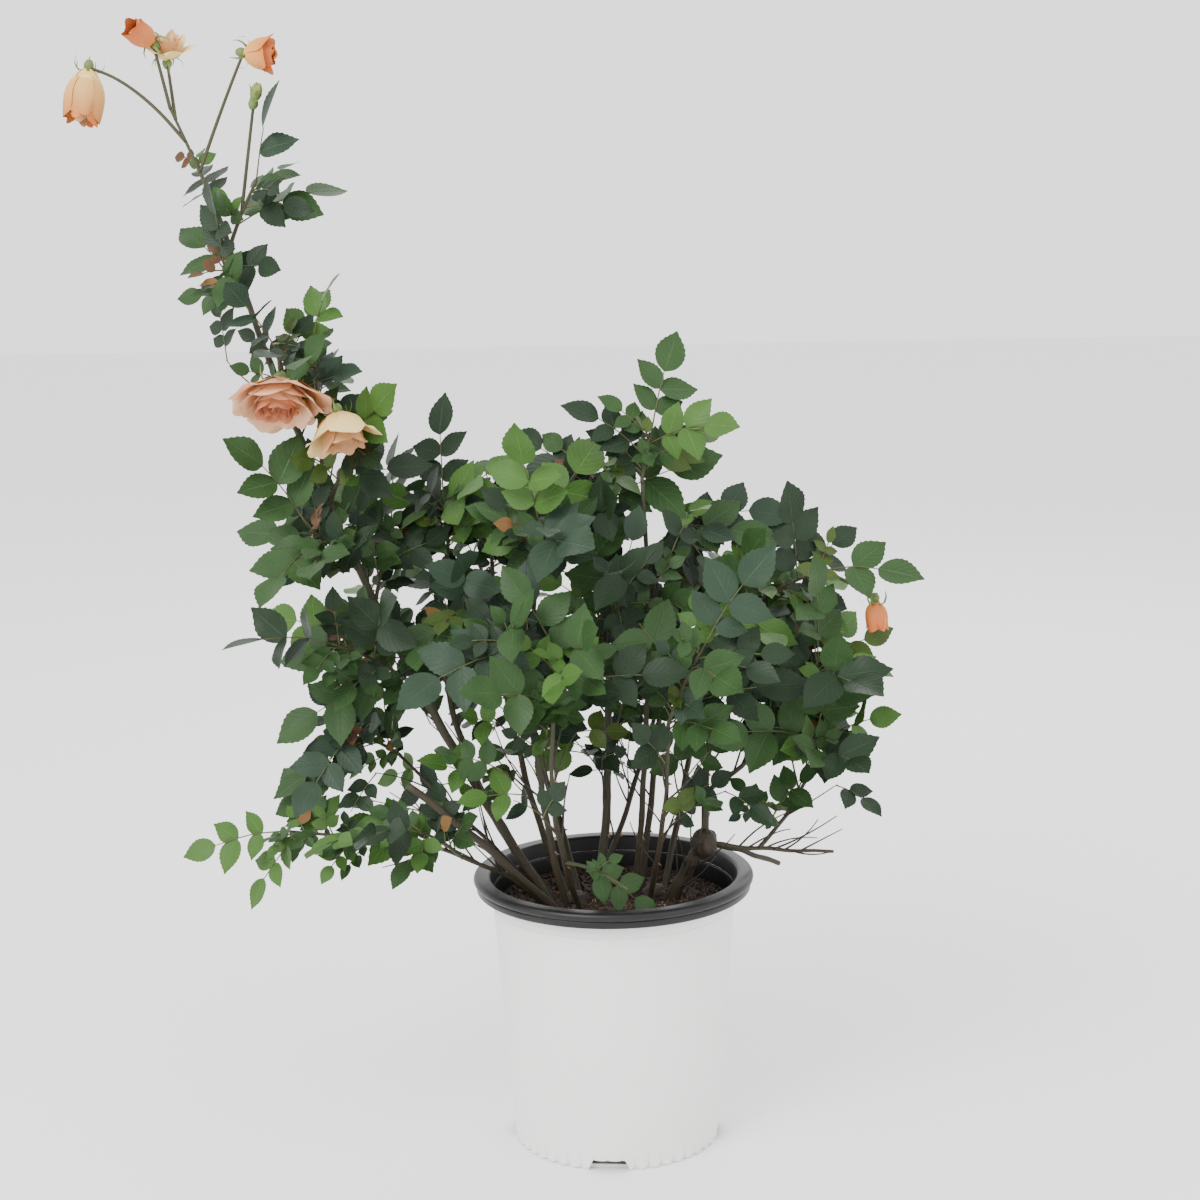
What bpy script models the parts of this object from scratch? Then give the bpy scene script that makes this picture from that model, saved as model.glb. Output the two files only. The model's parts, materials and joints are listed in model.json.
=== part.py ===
"""A honey apricot rose in a nursery pot: pot, potting mix, canes, and sprays of leaves and bloom.

Metres, +Z up.  The origin is the middle of the pot's flat underside, X runs to the right and
Y away from the front.  Canes and sprays are laid out on the plant's front view: each place is
read across and up there, and given a depth behind the pot's axis.
"""
import math
import random
from collections import namedtuple

import bmesh
import bpy
from mathutils import Matrix, Vector, noise
from mathutils.bvhtree import BVHTree

GAP = 0.00035                 # air kept between pieces that touch

# Pot
POT_HEIGHT = 0.242
RIM_RADIUS = 0.123
LIP_DROP = 0.0136             # height of the rolled lip
LIP_THICK = 0.0022
WALL_TOP_RADIUS = 0.1067
BASE_RADIUS = 0.0905
WALL = 0.0020
FLOOR = 0.0035
POT_SIDES = 36
NOTCHES = 4
NOTCH_WIDTH = 0.039
NOTCH_HEIGHT = 0.0095
NOTCH_DEPTH = 0.016
NOTCH_TURN = math.radians(-95)

# Potting mix
SOIL_TOP = 0.215
SOIL_FOOT = 0.0125
SOIL_SIDES = 26
SOIL_RINGS = 4
SOIL_ROUGH = 0.0035

# Crowns, where the canes leave the mix
LEFT_CROWN = Vector((-0.034, 0.000, SOIL_TOP))
RIGHT_CROWN = Vector((0.036, 0.018, SOIL_TOP))
CROWN_RADIUS = 0.011
FOOT_RING = 0.019             # the canes' feet stand round each crown at this radius
BURL = Vector((0.0800, -0.012, 0.2700))
BURL_RADIUS = 0.0115

# Leaves
LEAFLET_WIDTH = 0.72          # of its length
LEAFLET_THICK = 0.026         # of its length
WIDEST = 0.42                 # where along it a leaflet is widest
RACHIS_RADIUS = 0.95          # in millimetres
STEM_RADIUS = 1.7             # in millimetres
GOLDEN_TURN = math.radians(137.5)
FIRST_LEAF = 0.30             # the share of a stem that is bare at its foot
LEAFLET_FOLD = 0.045          # how far its sides stand above its rib, of its length
LEAFLET_DROOP = 0.03          # how far its tip hangs, of its length
LEAFLET_ROOT = 0.10           # the share of it that may touch its own twig
ROOM = 0.02                   # the room kept round a leaflet, of its length
FLAT = math.radians(0.05)     # faces within this angle of each other are merged
LEAF_STEPS = 2
STEM_STEPS = 4
STALK_STEPS = 4
STEM_TRIES = 14
LEAF_TRIES = 7

# Blooms
BLOOM_NECK = 0.55             # width at the calyx, as a share of the widest
BLOOM_SHOULDER = 0.45         # how far up a bloom is widest

# The point that the front view is seen from
EYE = Vector((-0.008, -2.062, 0.885))

Cane = namedtuple("Cane", "host at across up deep bow thick thin")
Mass = namedtuple("Mass", "host at across up deep leaves size seed")
Bloom = namedtuple("Bloom", "mass at across up deep width height facing arch")


def seen_at(across, up, deep):
    """The point at a depth that shows at this place on the front view (the plane of the pot's axis)."""
    on_view = Vector((across, 0.0, up))
    share = (deep - EYE.y) / (0.0 - EYE.y)
    return EYE + (on_view - EYE) * share


# Each cane: what it grows from (a crown and the bearing of its foot, or a host and how far along
# it), where its tip shows, its depth, how far it bows at the middle, and its thickness in
# millimetres at the foot and tip.
CANES = {
    "tall_cane": Cane("left", 180, -0.318, 0.808, -0.018, (-0.027, 0, 0.004), 9.0, 4.4),
    "left_cane": Cane("left", 150, -0.138, 0.530, 0.020, (-0.040, 0.010, 0), 7.5, 4.0),
    "left_inner_cane": Cane("left", 105, -0.100, 0.520, 0.050, (-0.016, 0.010, 0), 6.5, 3.6),
    "left_front_cane": Cane("left", 255, -0.062, 0.510, -0.050, (-0.014, -0.010, 0), 6.5, 3.6),
    "middle_cane": Cane("left", 15, -0.012, 0.530, 0.010, (0.012, 0.010, 0), 8.8, 4.6),
    "low_left_cane": Cane("left", 200, -0.205, 0.273, -0.040, (0.004, 0, 0.015), 4.6, 2.8),
    "cut_stub": Cane("left", 228, -0.178, 0.322, -0.060, (0, 0, 0.004), 7.2, 6.2),
    "left_thin_cane": Cane("left", 165, -0.183, 0.348, 0.020, (0.004, 0, -0.004), 4.4, 2.8),
    "front_cane": Cane("left", 290, -0.050, 0.380, -0.100, (-0.010, -0.015, 0), 5.6, 3.2),
    "back_left_cane": Cane("left", 75, -0.100, 0.450, 0.140, (0.004, 0.020, 0), 6.4, 3.4),
    "crossing_cane": Cane("left", 45, 0.048, 0.420, 0.110, (0.006, 0.010, 0), 5.8, 3.2),
    "right_trunk": Cane("right", -55, 0.0765, 0.2640, -0.012, (0.002, 0, 0.003), 12.5, 11.0),
    "spike_cane": Cane("right", 195, 0.030, 0.585, -0.015, (0.008, 0, 0), 6.0, 3.4),
    "right_inner_cane": Cane("right", 130, 0.056, 0.545, 0.035, (0.003, 0.010, 0), 6.4, 3.6),
    "right_back_cane": Cane("right", 65, 0.085, 0.460, 0.140, (0.004, 0.015, 0), 6.4, 3.4),
    "right_front_cane": Cane("right", 250, 0.050, 0.370, -0.095, (0.004, -0.010, 0), 5.4, 3.2),
    "right_cane": Cane("burl", 0, 0.098, 0.455, -0.005, (-0.004, 0, 0), 7.4, 4.4),
    "right_branch": Cane("right_cane", 0.24, 0.165, 0.395, -0.040, (0.004, 0, -0.004), 4.6, 3.2),
    "bare_branch": Cane("burl", 0, 0.194, 0.256, -0.030, (0, 0, -0.002), 4.6, 2.6),
    "low_right_branch": Cane("bare_branch", 0.42, 0.176, 0.336, -0.040, (0.004, 0, -0.002), 3.8, 2.8),
    "dark_stub": Cane("burl", 0, 0.146, 0.246, 0.020, (0, 0, 0.002), 5.2, 4.4),
}

# Each mass of leaves: its cane and how far along it the stem leaves it (1 is the tip), where the
# stem's end shows, its depth, the number of leaves, the length of its largest leaflets, and the
# seed of its branching.
MASSES = {
    "top_bloom_spray": Mass("tall_cane", 1.00, -0.357, 0.905, -0.020, 1, 0.034, 3),
    "tall_right_leaves": Mass("tall_cane", 0.97, -0.288, 0.845, -0.025, 2, 0.050, 5),
    "tall_left_leaves": Mass("tall_cane", 0.88, -0.318, 0.775, -0.030, 3, 0.040, 2),
    "tall_shoot": Mass("tall_cane", 0.62, -0.246, 0.715, -0.045, 4, 0.042, 8),
    "open_bloom_spray": Mass("tall_cane", 0.72, -0.276, 0.702, -0.040, 3, 0.044, 1),
    "faded_bloom_spray": Mass("tall_cane", 0.60, -0.212, 0.632, -0.040, 3, 0.044, 4),
    "left_upper_leaves": Mass("tall_cane", 0.50, -0.255, 0.550, -0.035, 4, 0.050, 6),
    "left_inner_leaves": Mass("tall_cane", 0.46, -0.185, 0.555, 0.030, 4, 0.050, 7),
    "left_middle_leaves": Mass("tall_cane", 0.33, -0.240, 0.450, -0.040, 4, 0.050, 9),
    "left_back_leaves": Mass("tall_cane", 0.36, -0.205, 0.460, 0.080, 3, 0.050, 10),
    "left_low_leaves": Mass("left_thin_cane", 1.00, -0.235, 0.378, -0.020, 4, 0.046, 11),
    "low_left_spray": Mass("low_left_cane", 1.00, -0.288, 0.283, -0.045, 3, 0.042, 12),
    "low_left_leaves": Mass("low_left_cane", 0.55, -0.170, 0.280, -0.065, 2, 0.050, 13),
    "left_cane_leaves": Mass("left_cane", 1.00, -0.140, 0.570, 0.020, 4, 0.050, 14),
    "left_cane_low_leaves": Mass("left_cane", 0.70, -0.125, 0.480, -0.020, 3, 0.050, 15),
    "inner_cane_leaves": Mass("left_inner_cane", 1.00, -0.098, 0.580, 0.050, 3, 0.052, 16),
    "front_left_leaves": Mass("left_front_cane", 1.00, -0.058, 0.548, -0.060, 4, 0.052, 17),
    "front_left_low_leaves": Mass("left_front_cane", 0.66, -0.085, 0.450, -0.110, 4, 0.050, 18),
    "middle_leaves": Mass("middle_cane", 1.00, -0.010, 0.592, 0.010, 4, 0.052, 19),
    "middle_low_leaves": Mass("middle_cane", 0.62, 0.010, 0.490, -0.060, 4, 0.050, 20),
    "front_leaves": Mass("front_cane", 1.00, -0.035, 0.430, -0.130, 4, 0.050, 21),
    "back_left_leaves": Mass("back_left_cane", 1.00, -0.110, 0.520, 0.170, 4, 0.052, 22),
    "back_leaves": Mass("crossing_cane", 1.00, 0.020, 0.500, 0.140, 4, 0.052, 23),
    "spike_leaves": Mass("spike_cane", 1.00, 0.038, 0.628, -0.015, 4, 0.042, 24),
    "right_inner_leaves": Mass("right_inner_cane", 1.00, 0.060, 0.545, 0.035, 4, 0.050, 25),
    "right_back_leaves": Mass("right_back_cane", 1.00, 0.120, 0.462, 0.170, 4, 0.052, 26),
    "right_top_leaves": Mass("right_cane", 0.90, 0.125, 0.488, 0.010, 4, 0.054, 27),
    "bud_spray": Mass("right_cane", 1.00, 0.188, 0.508, -0.040, 4, 0.048, 28),
    "right_middle_leaves": Mass("right_branch", 1.00, 0.180, 0.430, -0.050, 4, 0.050, 29),
    "right_front_leaves": Mass("right_front_cane", 1.00, 0.080, 0.440, -0.125, 4, 0.050, 41),
    "right_low_leaves": Mass("low_right_branch", 1.00, 0.178, 0.362, -0.050, 4, 0.050, 31),
    "low_right_sprig": Mass("low_right_branch", 0.30, 0.128, 0.300, -0.050, 1, 0.032, 32),
    "rim_sprig": Mass("front_cane", 0.30, 0.012, 0.225, -0.128, 1, 0.032, 33),
}

# Each bloom or bud: its mass, how far along the stem its stalk leaves, where its middle shows, its
# depth, its width and height, the way its mouth faces, and how high its stalk arches over.
BLOOMS = {
    "top_bud": Bloom("top_bloom_spray", 1.00, -0.377, 0.965, -0.030, 0.019, 0.026, (-0.5, -0.6, 0.5), 0.0),
    "spent_bloom": Bloom("top_bloom_spray", 0.90, -0.357, 0.955, -0.010, 0.020, 0.024, (0.1, -0.3, 0.9), 0.0),
    "nodding_bloom": Bloom("top_bloom_spray", 0.72, -0.427, 0.918, -0.020, 0.028, 0.044, (-0.15, -0.2, -0.95), 0.010),
    "right_bloom": Bloom("top_bloom_spray", 0.50, -0.281, 0.948, -0.025, 0.024, 0.028, (0.95, -0.2, -0.1), 0.002),
    "round_bud": Bloom("tall_right_leaves", 0.45, -0.285, 0.918, -0.035, 0.013, 0.018, (0.3, -0.2, 0.9), 0.0),
    "open_bloom": Bloom("open_bloom_spray", 1.00, -0.277, 0.656, -0.060, 0.075, 0.046, (0.0, -0.56, -0.83), 0.004),
    "faded_bloom": Bloom("faded_bloom_spray", 1.00, -0.224, 0.630, -0.070, 0.044, 0.044, (0.2, -0.4, -0.9), 0.006),
    "nodding_rosebud": Bloom("bud_spray", 0.97, 0.230, 0.466, -0.045, 0.020, 0.028, (0.05, -0.2, -0.97), 0.002),
}

COLOURS = {
    "lip": (0.012, 0.012, 0.013, 1.0),
    "mix": (0.020, 0.013, 0.009, 1.0),
    "cane": (0.085, 0.075, 0.030, 1.0),
    "bark": (0.055, 0.040, 0.024, 1.0),
    "leaf": (0.045, 0.120, 0.035, 1.0),
    "pot": (0.780, 0.780, 0.770, 1.0),
}


def clear_scene():
    """Remove whatever the file opened with."""
    for thing in list(bpy.data.objects):
        bpy.data.objects.remove(thing, do_unlink=True)


def new_collection(name):
    """A collection linked to the scene."""
    made = bpy.data.collections.new(name)
    bpy.context.scene.collection.children.link(made)
    return made


def finish(name, colour, roughness):
    """A plain material of one colour."""
    made = bpy.data.materials.new(name)
    made.use_nodes = True
    shader = made.node_tree.nodes["Principled BSDF"]
    shader.inputs["Base Color"].default_value = colour
    shader.inputs["Roughness"].default_value = roughness
    return made


def mesh_object(name, bm, home, material=None):
    """Turn a bmesh into an object in a collection."""
    bm.normal_update()
    mesh = bpy.data.meshes.new(name)
    bm.to_mesh(mesh)
    bm.free()
    made = bpy.data.objects.new(name, mesh)
    home.objects.link(made)
    if material:
        mesh.materials.append(material)
    return made


def evaluated_bmesh(thing, weld=1e-6):
    """The object's evaluated mesh, placed, with doubles welded, as a bmesh."""
    bpy.context.view_layer.update()
    graph = bpy.context.evaluated_depsgraph_get()
    mesh = bpy.data.meshes.new_from_object(thing.evaluated_get(graph))
    bm = bmesh.new()
    bm.from_mesh(mesh)
    bm.transform(thing.matrix_world)
    bmesh.ops.remove_doubles(bm, verts=bm.verts, dist=weld)
    bpy.data.meshes.remove(mesh)
    return bm


def as_cutter(thing):
    """Mark an object as one that only cuts."""
    thing.hide_render = True
    thing.display_type = "WIRE"
    return thing


def cut(thing, cutter):
    """Cut an object by another."""
    modifier = thing.modifiers.new("cut by " + cutter.name, "BOOLEAN")
    modifier.operation = "DIFFERENCE"
    modifier.object = cutter


def tube(name, path, radii, home, profile=None):
    """A tapering tube through points, its radii in millimetres, six-sided or of a given profile."""
    curve = bpy.data.curves.new(name, "CURVE")
    curve.dimensions = "3D"
    curve.use_fill_caps = True
    curve.bevel_resolution = 1
    if profile:
        curve.bevel_mode = "OBJECT"
        curve.bevel_object = profile
    else:
        curve.bevel_depth = 0.001
    spline = curve.splines.new("POLY")
    spline.points.add(len(path) - 1)
    for point, place, radius in zip(spline.points, path, radii):
        point.co = (*place, 1.0)
        point.radius = radius
    drawn = bpy.data.objects.new(name, curve)
    home.objects.link(drawn)
    bm = evaluated_bmesh(drawn)
    bmesh.ops.recalc_face_normals(bm, faces=bm.faces)
    bpy.data.objects.remove(drawn, do_unlink=True)
    bpy.data.curves.remove(curve)
    return mesh_object(name, bm, home)


def bowed_path(start, end, bow, steps):
    """Points of a limb that bows by a given amount at its middle."""
    bend = (start + end) / 2 + Vector(bow) * 2
    path = []
    for i in range(steps + 1):
        t = i / steps
        path.append(start * (1 - t) ** 2 + bend * 2 * t * (1 - t) + end * t ** 2)
    return path


def taper(thick, thin, steps):
    """Radii that go evenly from one to the other."""
    return [thick + (thin - thick) * i / steps for i in range(steps + 1)]


def point_along(path, share):
    """The point a share of the way along a path, and the direction there."""
    reach = share * (len(path) - 1)
    low = min(int(reach), len(path) - 2)
    step = path[low + 1] - path[low]
    return path[low] + step * (reach - low), step.normalized()


def profile_points():
    """The pot's section, from the middle of its floor up inside, over the lip and down outside."""
    rim = RIM_RADIUS
    top = POT_HEIGHT
    shelf = top - LIP_DROP * 0.62
    return [
        (0.0, FLOOR),
        (BASE_RADIUS - WALL, FLOOR),
        (WALL_TOP_RADIUS - WALL, shelf - 0.004),
        (rim - 0.0095, shelf + 0.001),
        (rim - 0.0055, top),
        (rim - 0.0012, top - 0.0007),
        (rim, top - 0.0040),
        (rim - 0.0024, top - LIP_DROP * 0.58),
        (rim - 0.0026, top - LIP_DROP),
        (rim - 0.0026 - LIP_THICK, top - LIP_DROP),
        (rim - 0.0046 - LIP_THICK, shelf - 0.0028),
        (WALL_TOP_RADIUS, shelf - 0.0048),
        (BASE_RADIUS, 0.0),
        (0.0, 0.0),
    ]


def turned(name, points, sides, home):
    """A solid turned from a section that starts and ends on the axis."""
    bm = bmesh.new()
    verts = [bm.verts.new((radius, 0.0, height)) for radius, height in points]
    for a, b in zip(verts, verts[1:]):
        bm.edges.new((a, b))
    made = mesh_object(name, bm, home)
    screw = made.modifiers.new("turn", "SCREW")
    screw.steps = sides
    screw.render_steps = sides
    screw.use_merge_vertices = True
    screw.merge_threshold = 0.00001
    return made


def build_pot(home, cutters):
    """The nursery pot, with drainage notches through the foot of its wall."""
    pot = turned("pot", profile_points(), POT_SIDES, home)
    for i in range(NOTCHES):
        turn = NOTCH_TURN + math.tau * i / NOTCHES
        bm = bmesh.new()
        bmesh.ops.create_cube(bm, size=1.0)
        for vert in bm.verts:
            narrow = 0.72 if vert.co.z > 0 else 1.0
            vert.co.x *= NOTCH_DEPTH
            vert.co.y *= NOTCH_WIDTH * narrow
            vert.co.z = NOTCH_HEIGHT if vert.co.z > 0 else -0.002
        out = Matrix.Translation((BASE_RADIUS - 0.001, 0, 0))
        bm.transform(Matrix.Rotation(turn, 4, "Z") @ out)
        cut(pot, as_cutter(mesh_object(f"notch_cutter_{i + 1}", bm, cutters)))
    pot.data.materials.append(finish("white_pot", COLOURS["pot"], 0.45))
    return pot


def inner_radius(height):
    """The radius inside the pot's wall at a height."""
    shelf = POT_HEIGHT - LIP_DROP * 0.62 - 0.004
    share = (height - FLOOR) / (shelf - FLOOR)
    return BASE_RADIUS + (WALL_TOP_RADIUS - BASE_RADIUS) * share - WALL


def build_soil(home):
    """The potting mix, whose rough top is level round the crowns."""
    sag = 1 - math.cos(math.pi / POT_SIDES) * 0.9995
    foot = inner_radius(SOIL_FOOT) * (1 - sag) - GAP
    head = inner_radius(SOIL_TOP) * (1 - sag) - GAP
    points = [(0.0, SOIL_TOP - GAP)]
    for i in range(1, SOIL_RINGS + 1):
        points.append((head * i / SOIL_RINGS, SOIL_TOP - GAP))
    points += [(foot, SOIL_FOOT), (0.0, SOIL_FOOT)]
    drawn = turned("potting_mix", points, SOIL_SIDES, home)
    bm = evaluated_bmesh(drawn)
    bpy.data.objects.remove(drawn, do_unlink=True)
    for vert in bm.verts:
        radius = vert.co.xy.length
        if vert.co.z < SOIL_TOP - 0.001 or radius > head * 0.97:
            continue
        near = min((vert.co - LEFT_CROWN).length, (vert.co - RIGHT_CROWN).length)
        if near > FOOT_RING * 1.9:
            vert.co.z -= SOIL_ROUGH * (0.5 + 0.5 * noise.noise(vert.co * 60))
    bmesh.ops.recalc_face_normals(bm, faces=bm.faces)
    return mesh_object("potting_mix", bm, home, finish("potting_mix", COLOURS["mix"], 0.95))


def lump(name, centre, radius, squash, home, grow=0.0):
    """A knobbly round solid, as where canes are cut back and heal over."""
    bm = bmesh.new()
    bmesh.ops.create_icosphere(bm, subdivisions=2, radius=1.0)
    for vert in bm.verts:
        swell = 1 + 0.16 * noise.noise(vert.co * 1.7 + centre * 40)
        vert.co = centre + Vector((vert.co.x, vert.co.y, vert.co.z * squash)) * (radius * swell + grow)
    return mesh_object(name, bm, home)


def cane_start(cane):
    """Where a cane's middle line starts, from its crown, the burl, or its host's middle line."""
    if cane.host in ("left", "right"):
        crown = LEFT_CROWN if cane.host == "left" else RIGHT_CROWN
        bearing = math.radians(cane.at)
        foot = crown + Vector((math.cos(bearing), math.sin(bearing), 0)) * FOOT_RING
        return foot - Vector((0, 0, 0.008))
    if cane.host == "burl":
        return BURL.copy()
    return point_along(cane_path(CANES[cane.host]), cane.at)[0]


def cane_path(cane):
    """The middle line of a cane."""
    start = cane_start(cane)
    end = seen_at(cane.across, cane.up, cane.deep)
    steps = max(3, round((end - start).length / 0.055))
    return bowed_path(start, end, cane.bow, steps)


def build_canes(home, cutters, bark):
    """Every cane, cut clear of the mix, the burl or the cane that it grows from."""
    slab = bmesh.new()
    bmesh.ops.create_cube(slab, size=0.16)
    bmesh.ops.translate(slab, verts=slab.verts, vec=(0, 0, SOIL_TOP - 0.08))
    soil_line = as_cutter(mesh_object("soil_line", slab, cutters))
    lumps = [lump("left_crown", LEFT_CROWN, CROWN_RADIUS, 0.8, home),
             lump("right_crown", RIGHT_CROWN, CROWN_RADIUS, 0.8, home)]
    for made in lumps:
        cut(made, soil_line)
    burl = lump("burl", BURL, BURL_RADIUS, 1.15, home)
    fat = {"burl": as_cutter(lump("burl_cutter", BURL, BURL_RADIUS, 1.15, cutters, GAP))}
    canes = {}
    for name, cane in CANES.items():
        path = cane_path(cane)
        radii = taper(cane.thick / 2, cane.thin / 2, len(path) - 1)
        canes[name] = tube(name, path, radii, home)
        fat[name] = as_cutter(tube(name + "_cutter", path, [r + GAP * 1000 for r in radii], cutters))
        cut(canes[name], soil_line if cane.host in ("left", "right") else fat[cane.host])
        if name == "right_trunk":
            cut(canes[name], fat["burl"])
    for made in lumps + [burl] + list(canes.values()):
        made.data.materials.append(bark)
    return fat


def leaflet_shape():
    """One leaflet of unit length and width along +X: a flat eight-faced solid, folded at its rib."""
    bm = bmesh.new()
    bmesh.ops.create_uvsphere(bm, u_segments=4, v_segments=2, radius=0.5)
    for vert in bm.verts:
        if abs(vert.co.z) > 0.1:
            vert.co = Vector((WIDEST, 0, math.copysign(LEAFLET_THICK / 2, vert.co.z)))
        elif abs(vert.co.y) > 0.1:
            vert.co = Vector((WIDEST, vert.co.y, LEAFLET_FOLD))
        else:
            vert.co = Vector((vert.co.x + 0.5, 0, -LEAFLET_DROOP if vert.co.x > 0 else 0))
    bmesh.ops.recalc_face_normals(bm, faces=bm.faces)
    corners = [vert.co.copy() for vert in bm.verts]
    faces = [[vert.index for vert in face.verts] for face in bm.faces]
    bm.free()
    return corners, faces


LEAFLET_CORNERS, LEAFLET_FACES = leaflet_shape()


def leaflet_frame(root, along, face, length):
    """The frame of a leaflet: its root, the way it points, the way it faces, and its size."""
    side = face.cross(along).normalized()
    normal = along.cross(side)
    frame = Matrix((along * length, side * length * LEAFLET_WIDTH, normal * length)).transposed()
    return Matrix.Translation(root) @ frame.to_4x4()


def leaflet_room(frame, past=0.0):
    """The corners and faces of the room that a leaflet needs, from a share past its root."""
    corners = []
    for x, y, z in LEAFLET_CORNERS:
        on_rib = x == WIDEST and y == 0
        corners.append(Vector((past + x * (1 + ROOM - past), y * (1 + ROOM),
                               z + math.copysign(ROOM, z) if on_rib else z)))
    return [frame @ corner for corner in corners], LEAFLET_FACES


def limb_room(path, radii, sides=3):
    """The corners and faces of the room that a limb needs, as open prisms, radii in millimetres."""
    corners = []
    faces = []
    for a, b, thick, thin in zip(path, path[1:], radii, radii[1:]):
        step = (b - a).normalized()
        side = step.orthogonal().normalized()
        other = step.cross(side)
        first = len(corners)
        for place, radius in ((a, thick), (b, thin)):
            for k in range(sides):
                turn = math.tau * k / sides
                spoke = side * math.cos(turn) + other * math.sin(turn)
                corners.append(place + spoke * (radius * 0.001 + GAP))
        for k in range(sides):
            n = (k + 1) % sides
            faces.append([first + k, first + n, first + sides + n, first + sides + k])
    return corners, faces


def ball_room(centre, radius):
    """The corners and faces of the room that a bloom needs."""
    bm = bmesh.new()
    bmesh.ops.create_uvsphere(bm, u_segments=4, v_segments=2, radius=radius)
    corners = [centre + vert.co for vert in bm.verts]
    faces = [[vert.index for vert in face.verts] for face in bm.faces]
    bm.free()
    return corners, faces


def turned_room(points, sides):
    """The corners and faces of a turned section, open at the axis."""
    corners = []
    faces = []
    for k in range(sides):
        turn = math.tau * k / sides
        corners += [Vector((math.cos(turn) * r, math.sin(turn) * r, z)) for r, z in points]
    count = len(points)
    for k in range(sides):
        here, there = k * count, (k + 1) % sides * count
        faces += [[here + i, there + i, there + i + 1, here + i + 1] for i in range(count - 1)]
    return corners, faces


def search_tree(rooms):
    """One search tree of the faces of several rooms."""
    corners = []
    faces = []
    for room_corners, room_faces in rooms:
        first = len(corners)
        corners += room_corners
        faces += [[first + k for k in face] for face in room_faces]
    return BVHTree.FromPolygons(corners, faces)


def is_clear(room, trees):
    """Whether a room touches none of these search trees."""
    tree = search_tree([room])
    return not any(tree.overlap(other) for other in trees)


class Space:
    """What stands already, so that a twig or leaf that would touch it is left out."""

    def __init__(self):
        self.standing = {}

    def add(self, name, rooms):
        """Take note of a piece, by its name, in place of what stood for it before."""
        self.standing[name] = search_tree(rooms)

    def is_free(self, room, *but):
        """Whether a room is clear of all that stands but the named pieces."""
        return is_clear(room, [tree for name, tree in self.standing.items() if name not in but])


def turned_about(vector, axis, angle):
    """A vector turned about an axis."""
    return Matrix.Rotation(angle, 3, axis) @ vector


def stray(luck):
    """A random vector, each part from -1 to 1."""
    return Vector([luck.uniform(-1, 1) for _ in range(3)])


def leaf_face(place, luck):
    """The way a leaf faces: up to the light, outwards, and mostly to the front on the front half."""
    out = Vector((place.x, place.y, 0)).normalized()
    front = Vector((0, -0.95, 0)) if place.y < 0.07 else Vector((0, 0, 0))
    return (Vector((0, 0, 0.75)) + out * 0.45 + front + stray(luck) * 0.5).normalized()


def grow_leaf(start, along, size, pairs, luck, space, name, own):
    """One leaf: a rachis with leaflets in pairs and one at its end.  None if there is no room."""
    reach = size * (0.48 + 0.50 * pairs)
    sag = Vector((0, 0, -reach * 0.10))
    path = bowed_path(start, start + along * reach + sag, -sag * 0.5, LEAF_STEPS)
    girth = taper(RACHIS_RADIUS * 1.05, RACHIS_RADIUS * 0.8, LEAF_STEPS)
    whole = limb_room(path, girth)
    onward = limb_room([path[0].lerp(path[1], 0.4)] + path[1:], girth)
    if not space.is_free(whole, name) or not is_clear(onward, own):
        return None
    face = leaf_face(start + along * reach, luck)
    frames = []
    rooms = [whole]
    near = [onward]
    for k in range(pairs * 2 + 1):
        pair = (k + 1) // 2
        share = 1.0 - pair * 0.5 / (0.48 + 0.5 * pairs) + (0.03 if k % 2 else 0.0)
        place, step = point_along(path, min(share, 0.995))
        length = size * (1.0 - 0.10 * pair) * luck.uniform(0.9, 1.06)
        side = face.cross(step).normalized()
        swing = 0.0 if k == 0 else math.radians(60) * (1 if k % 2 else -1)
        for attempt in range(5):
            lean = face + stray(luck) * (0.2 + 0.25 * attempt)
            sway = swing + luck.uniform(-0.16, 0.16) * (1 + attempt * 0.6)
            heading = step * math.cos(sway) + side * math.sin(sway) + Vector((0, 0, -0.10))
            heading.normalize()
            frame = leaflet_frame(place - heading * RACHIS_RADIUS * 0.0004, heading, lean, length)
            past_root = leaflet_room(frame, LEAFLET_ROOT)
            mine = [search_tree([other]) for other in near[1:]]
            if space.is_free(leaflet_room(frame), name) and is_clear(past_root, [*own, *mine]):
                frames.append(frame)
                rooms.append(leaflet_room(frame))
                near.append(past_root)
                break
    return (path, frames, rooms, near) if len(frames) > 1 else None


def leaf_starts(mass, stem, luck):
    """Where leaves leave a stem and the way each points, turning by the golden angle."""
    turn = luck.uniform(0, math.tau)
    for k in range(mass.leaves):
        share = FIRST_LEAF + (1 - FIRST_LEAF) * k / max(1, mass.leaves - 1)
        place, step = point_along(stem, min(share, 0.995))
        across = turned_about(step.orthogonal().normalized(), step, turn + k * GOLDEN_TURN)
        yield place, step, across, math.radians(62 if share < 0.9 else 18)


def grow_stem(mass, canes_at, luck, space):
    """The stem of a mass, on from its cane's tip or out of its side, bowed clear of what stands."""
    host = canes_at[mass.host]
    end = seen_at(mass.across, mass.up, mass.deep)
    for attempt in range(STEM_TRIES):
        if mass.at >= 1.0:
            tip, step = point_along(host, 1.0)
            start = tip + step * (GAP * 1.2)
            collar = start + step * 0.005
            bow = step * (end - collar).length * 0.06 + stray(luck) * 0.006 * attempt
            stem = [start] + bowed_path(collar, end, bow, STEM_STEPS)
        else:
            start = point_along(host, mass.at)[0]
            bow = Vector((0, 0, (end - start).length * 0.05)) + stray(luck) * 0.006 * attempt
            stem = bowed_path(start, end, bow, STEM_STEPS)
        girth = taper(STEM_RADIUS, RACHIS_RADIUS * 1.1, len(stem) - 1)
        whole = limb_room(stem, girth)
        if space.is_free(whole, mass.host) and space.is_free(limb_room(stem[1:], girth[1:])):
            return stem, whole
    raise ValueError("no room for the stem of a mass on " + mass.host)


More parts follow.
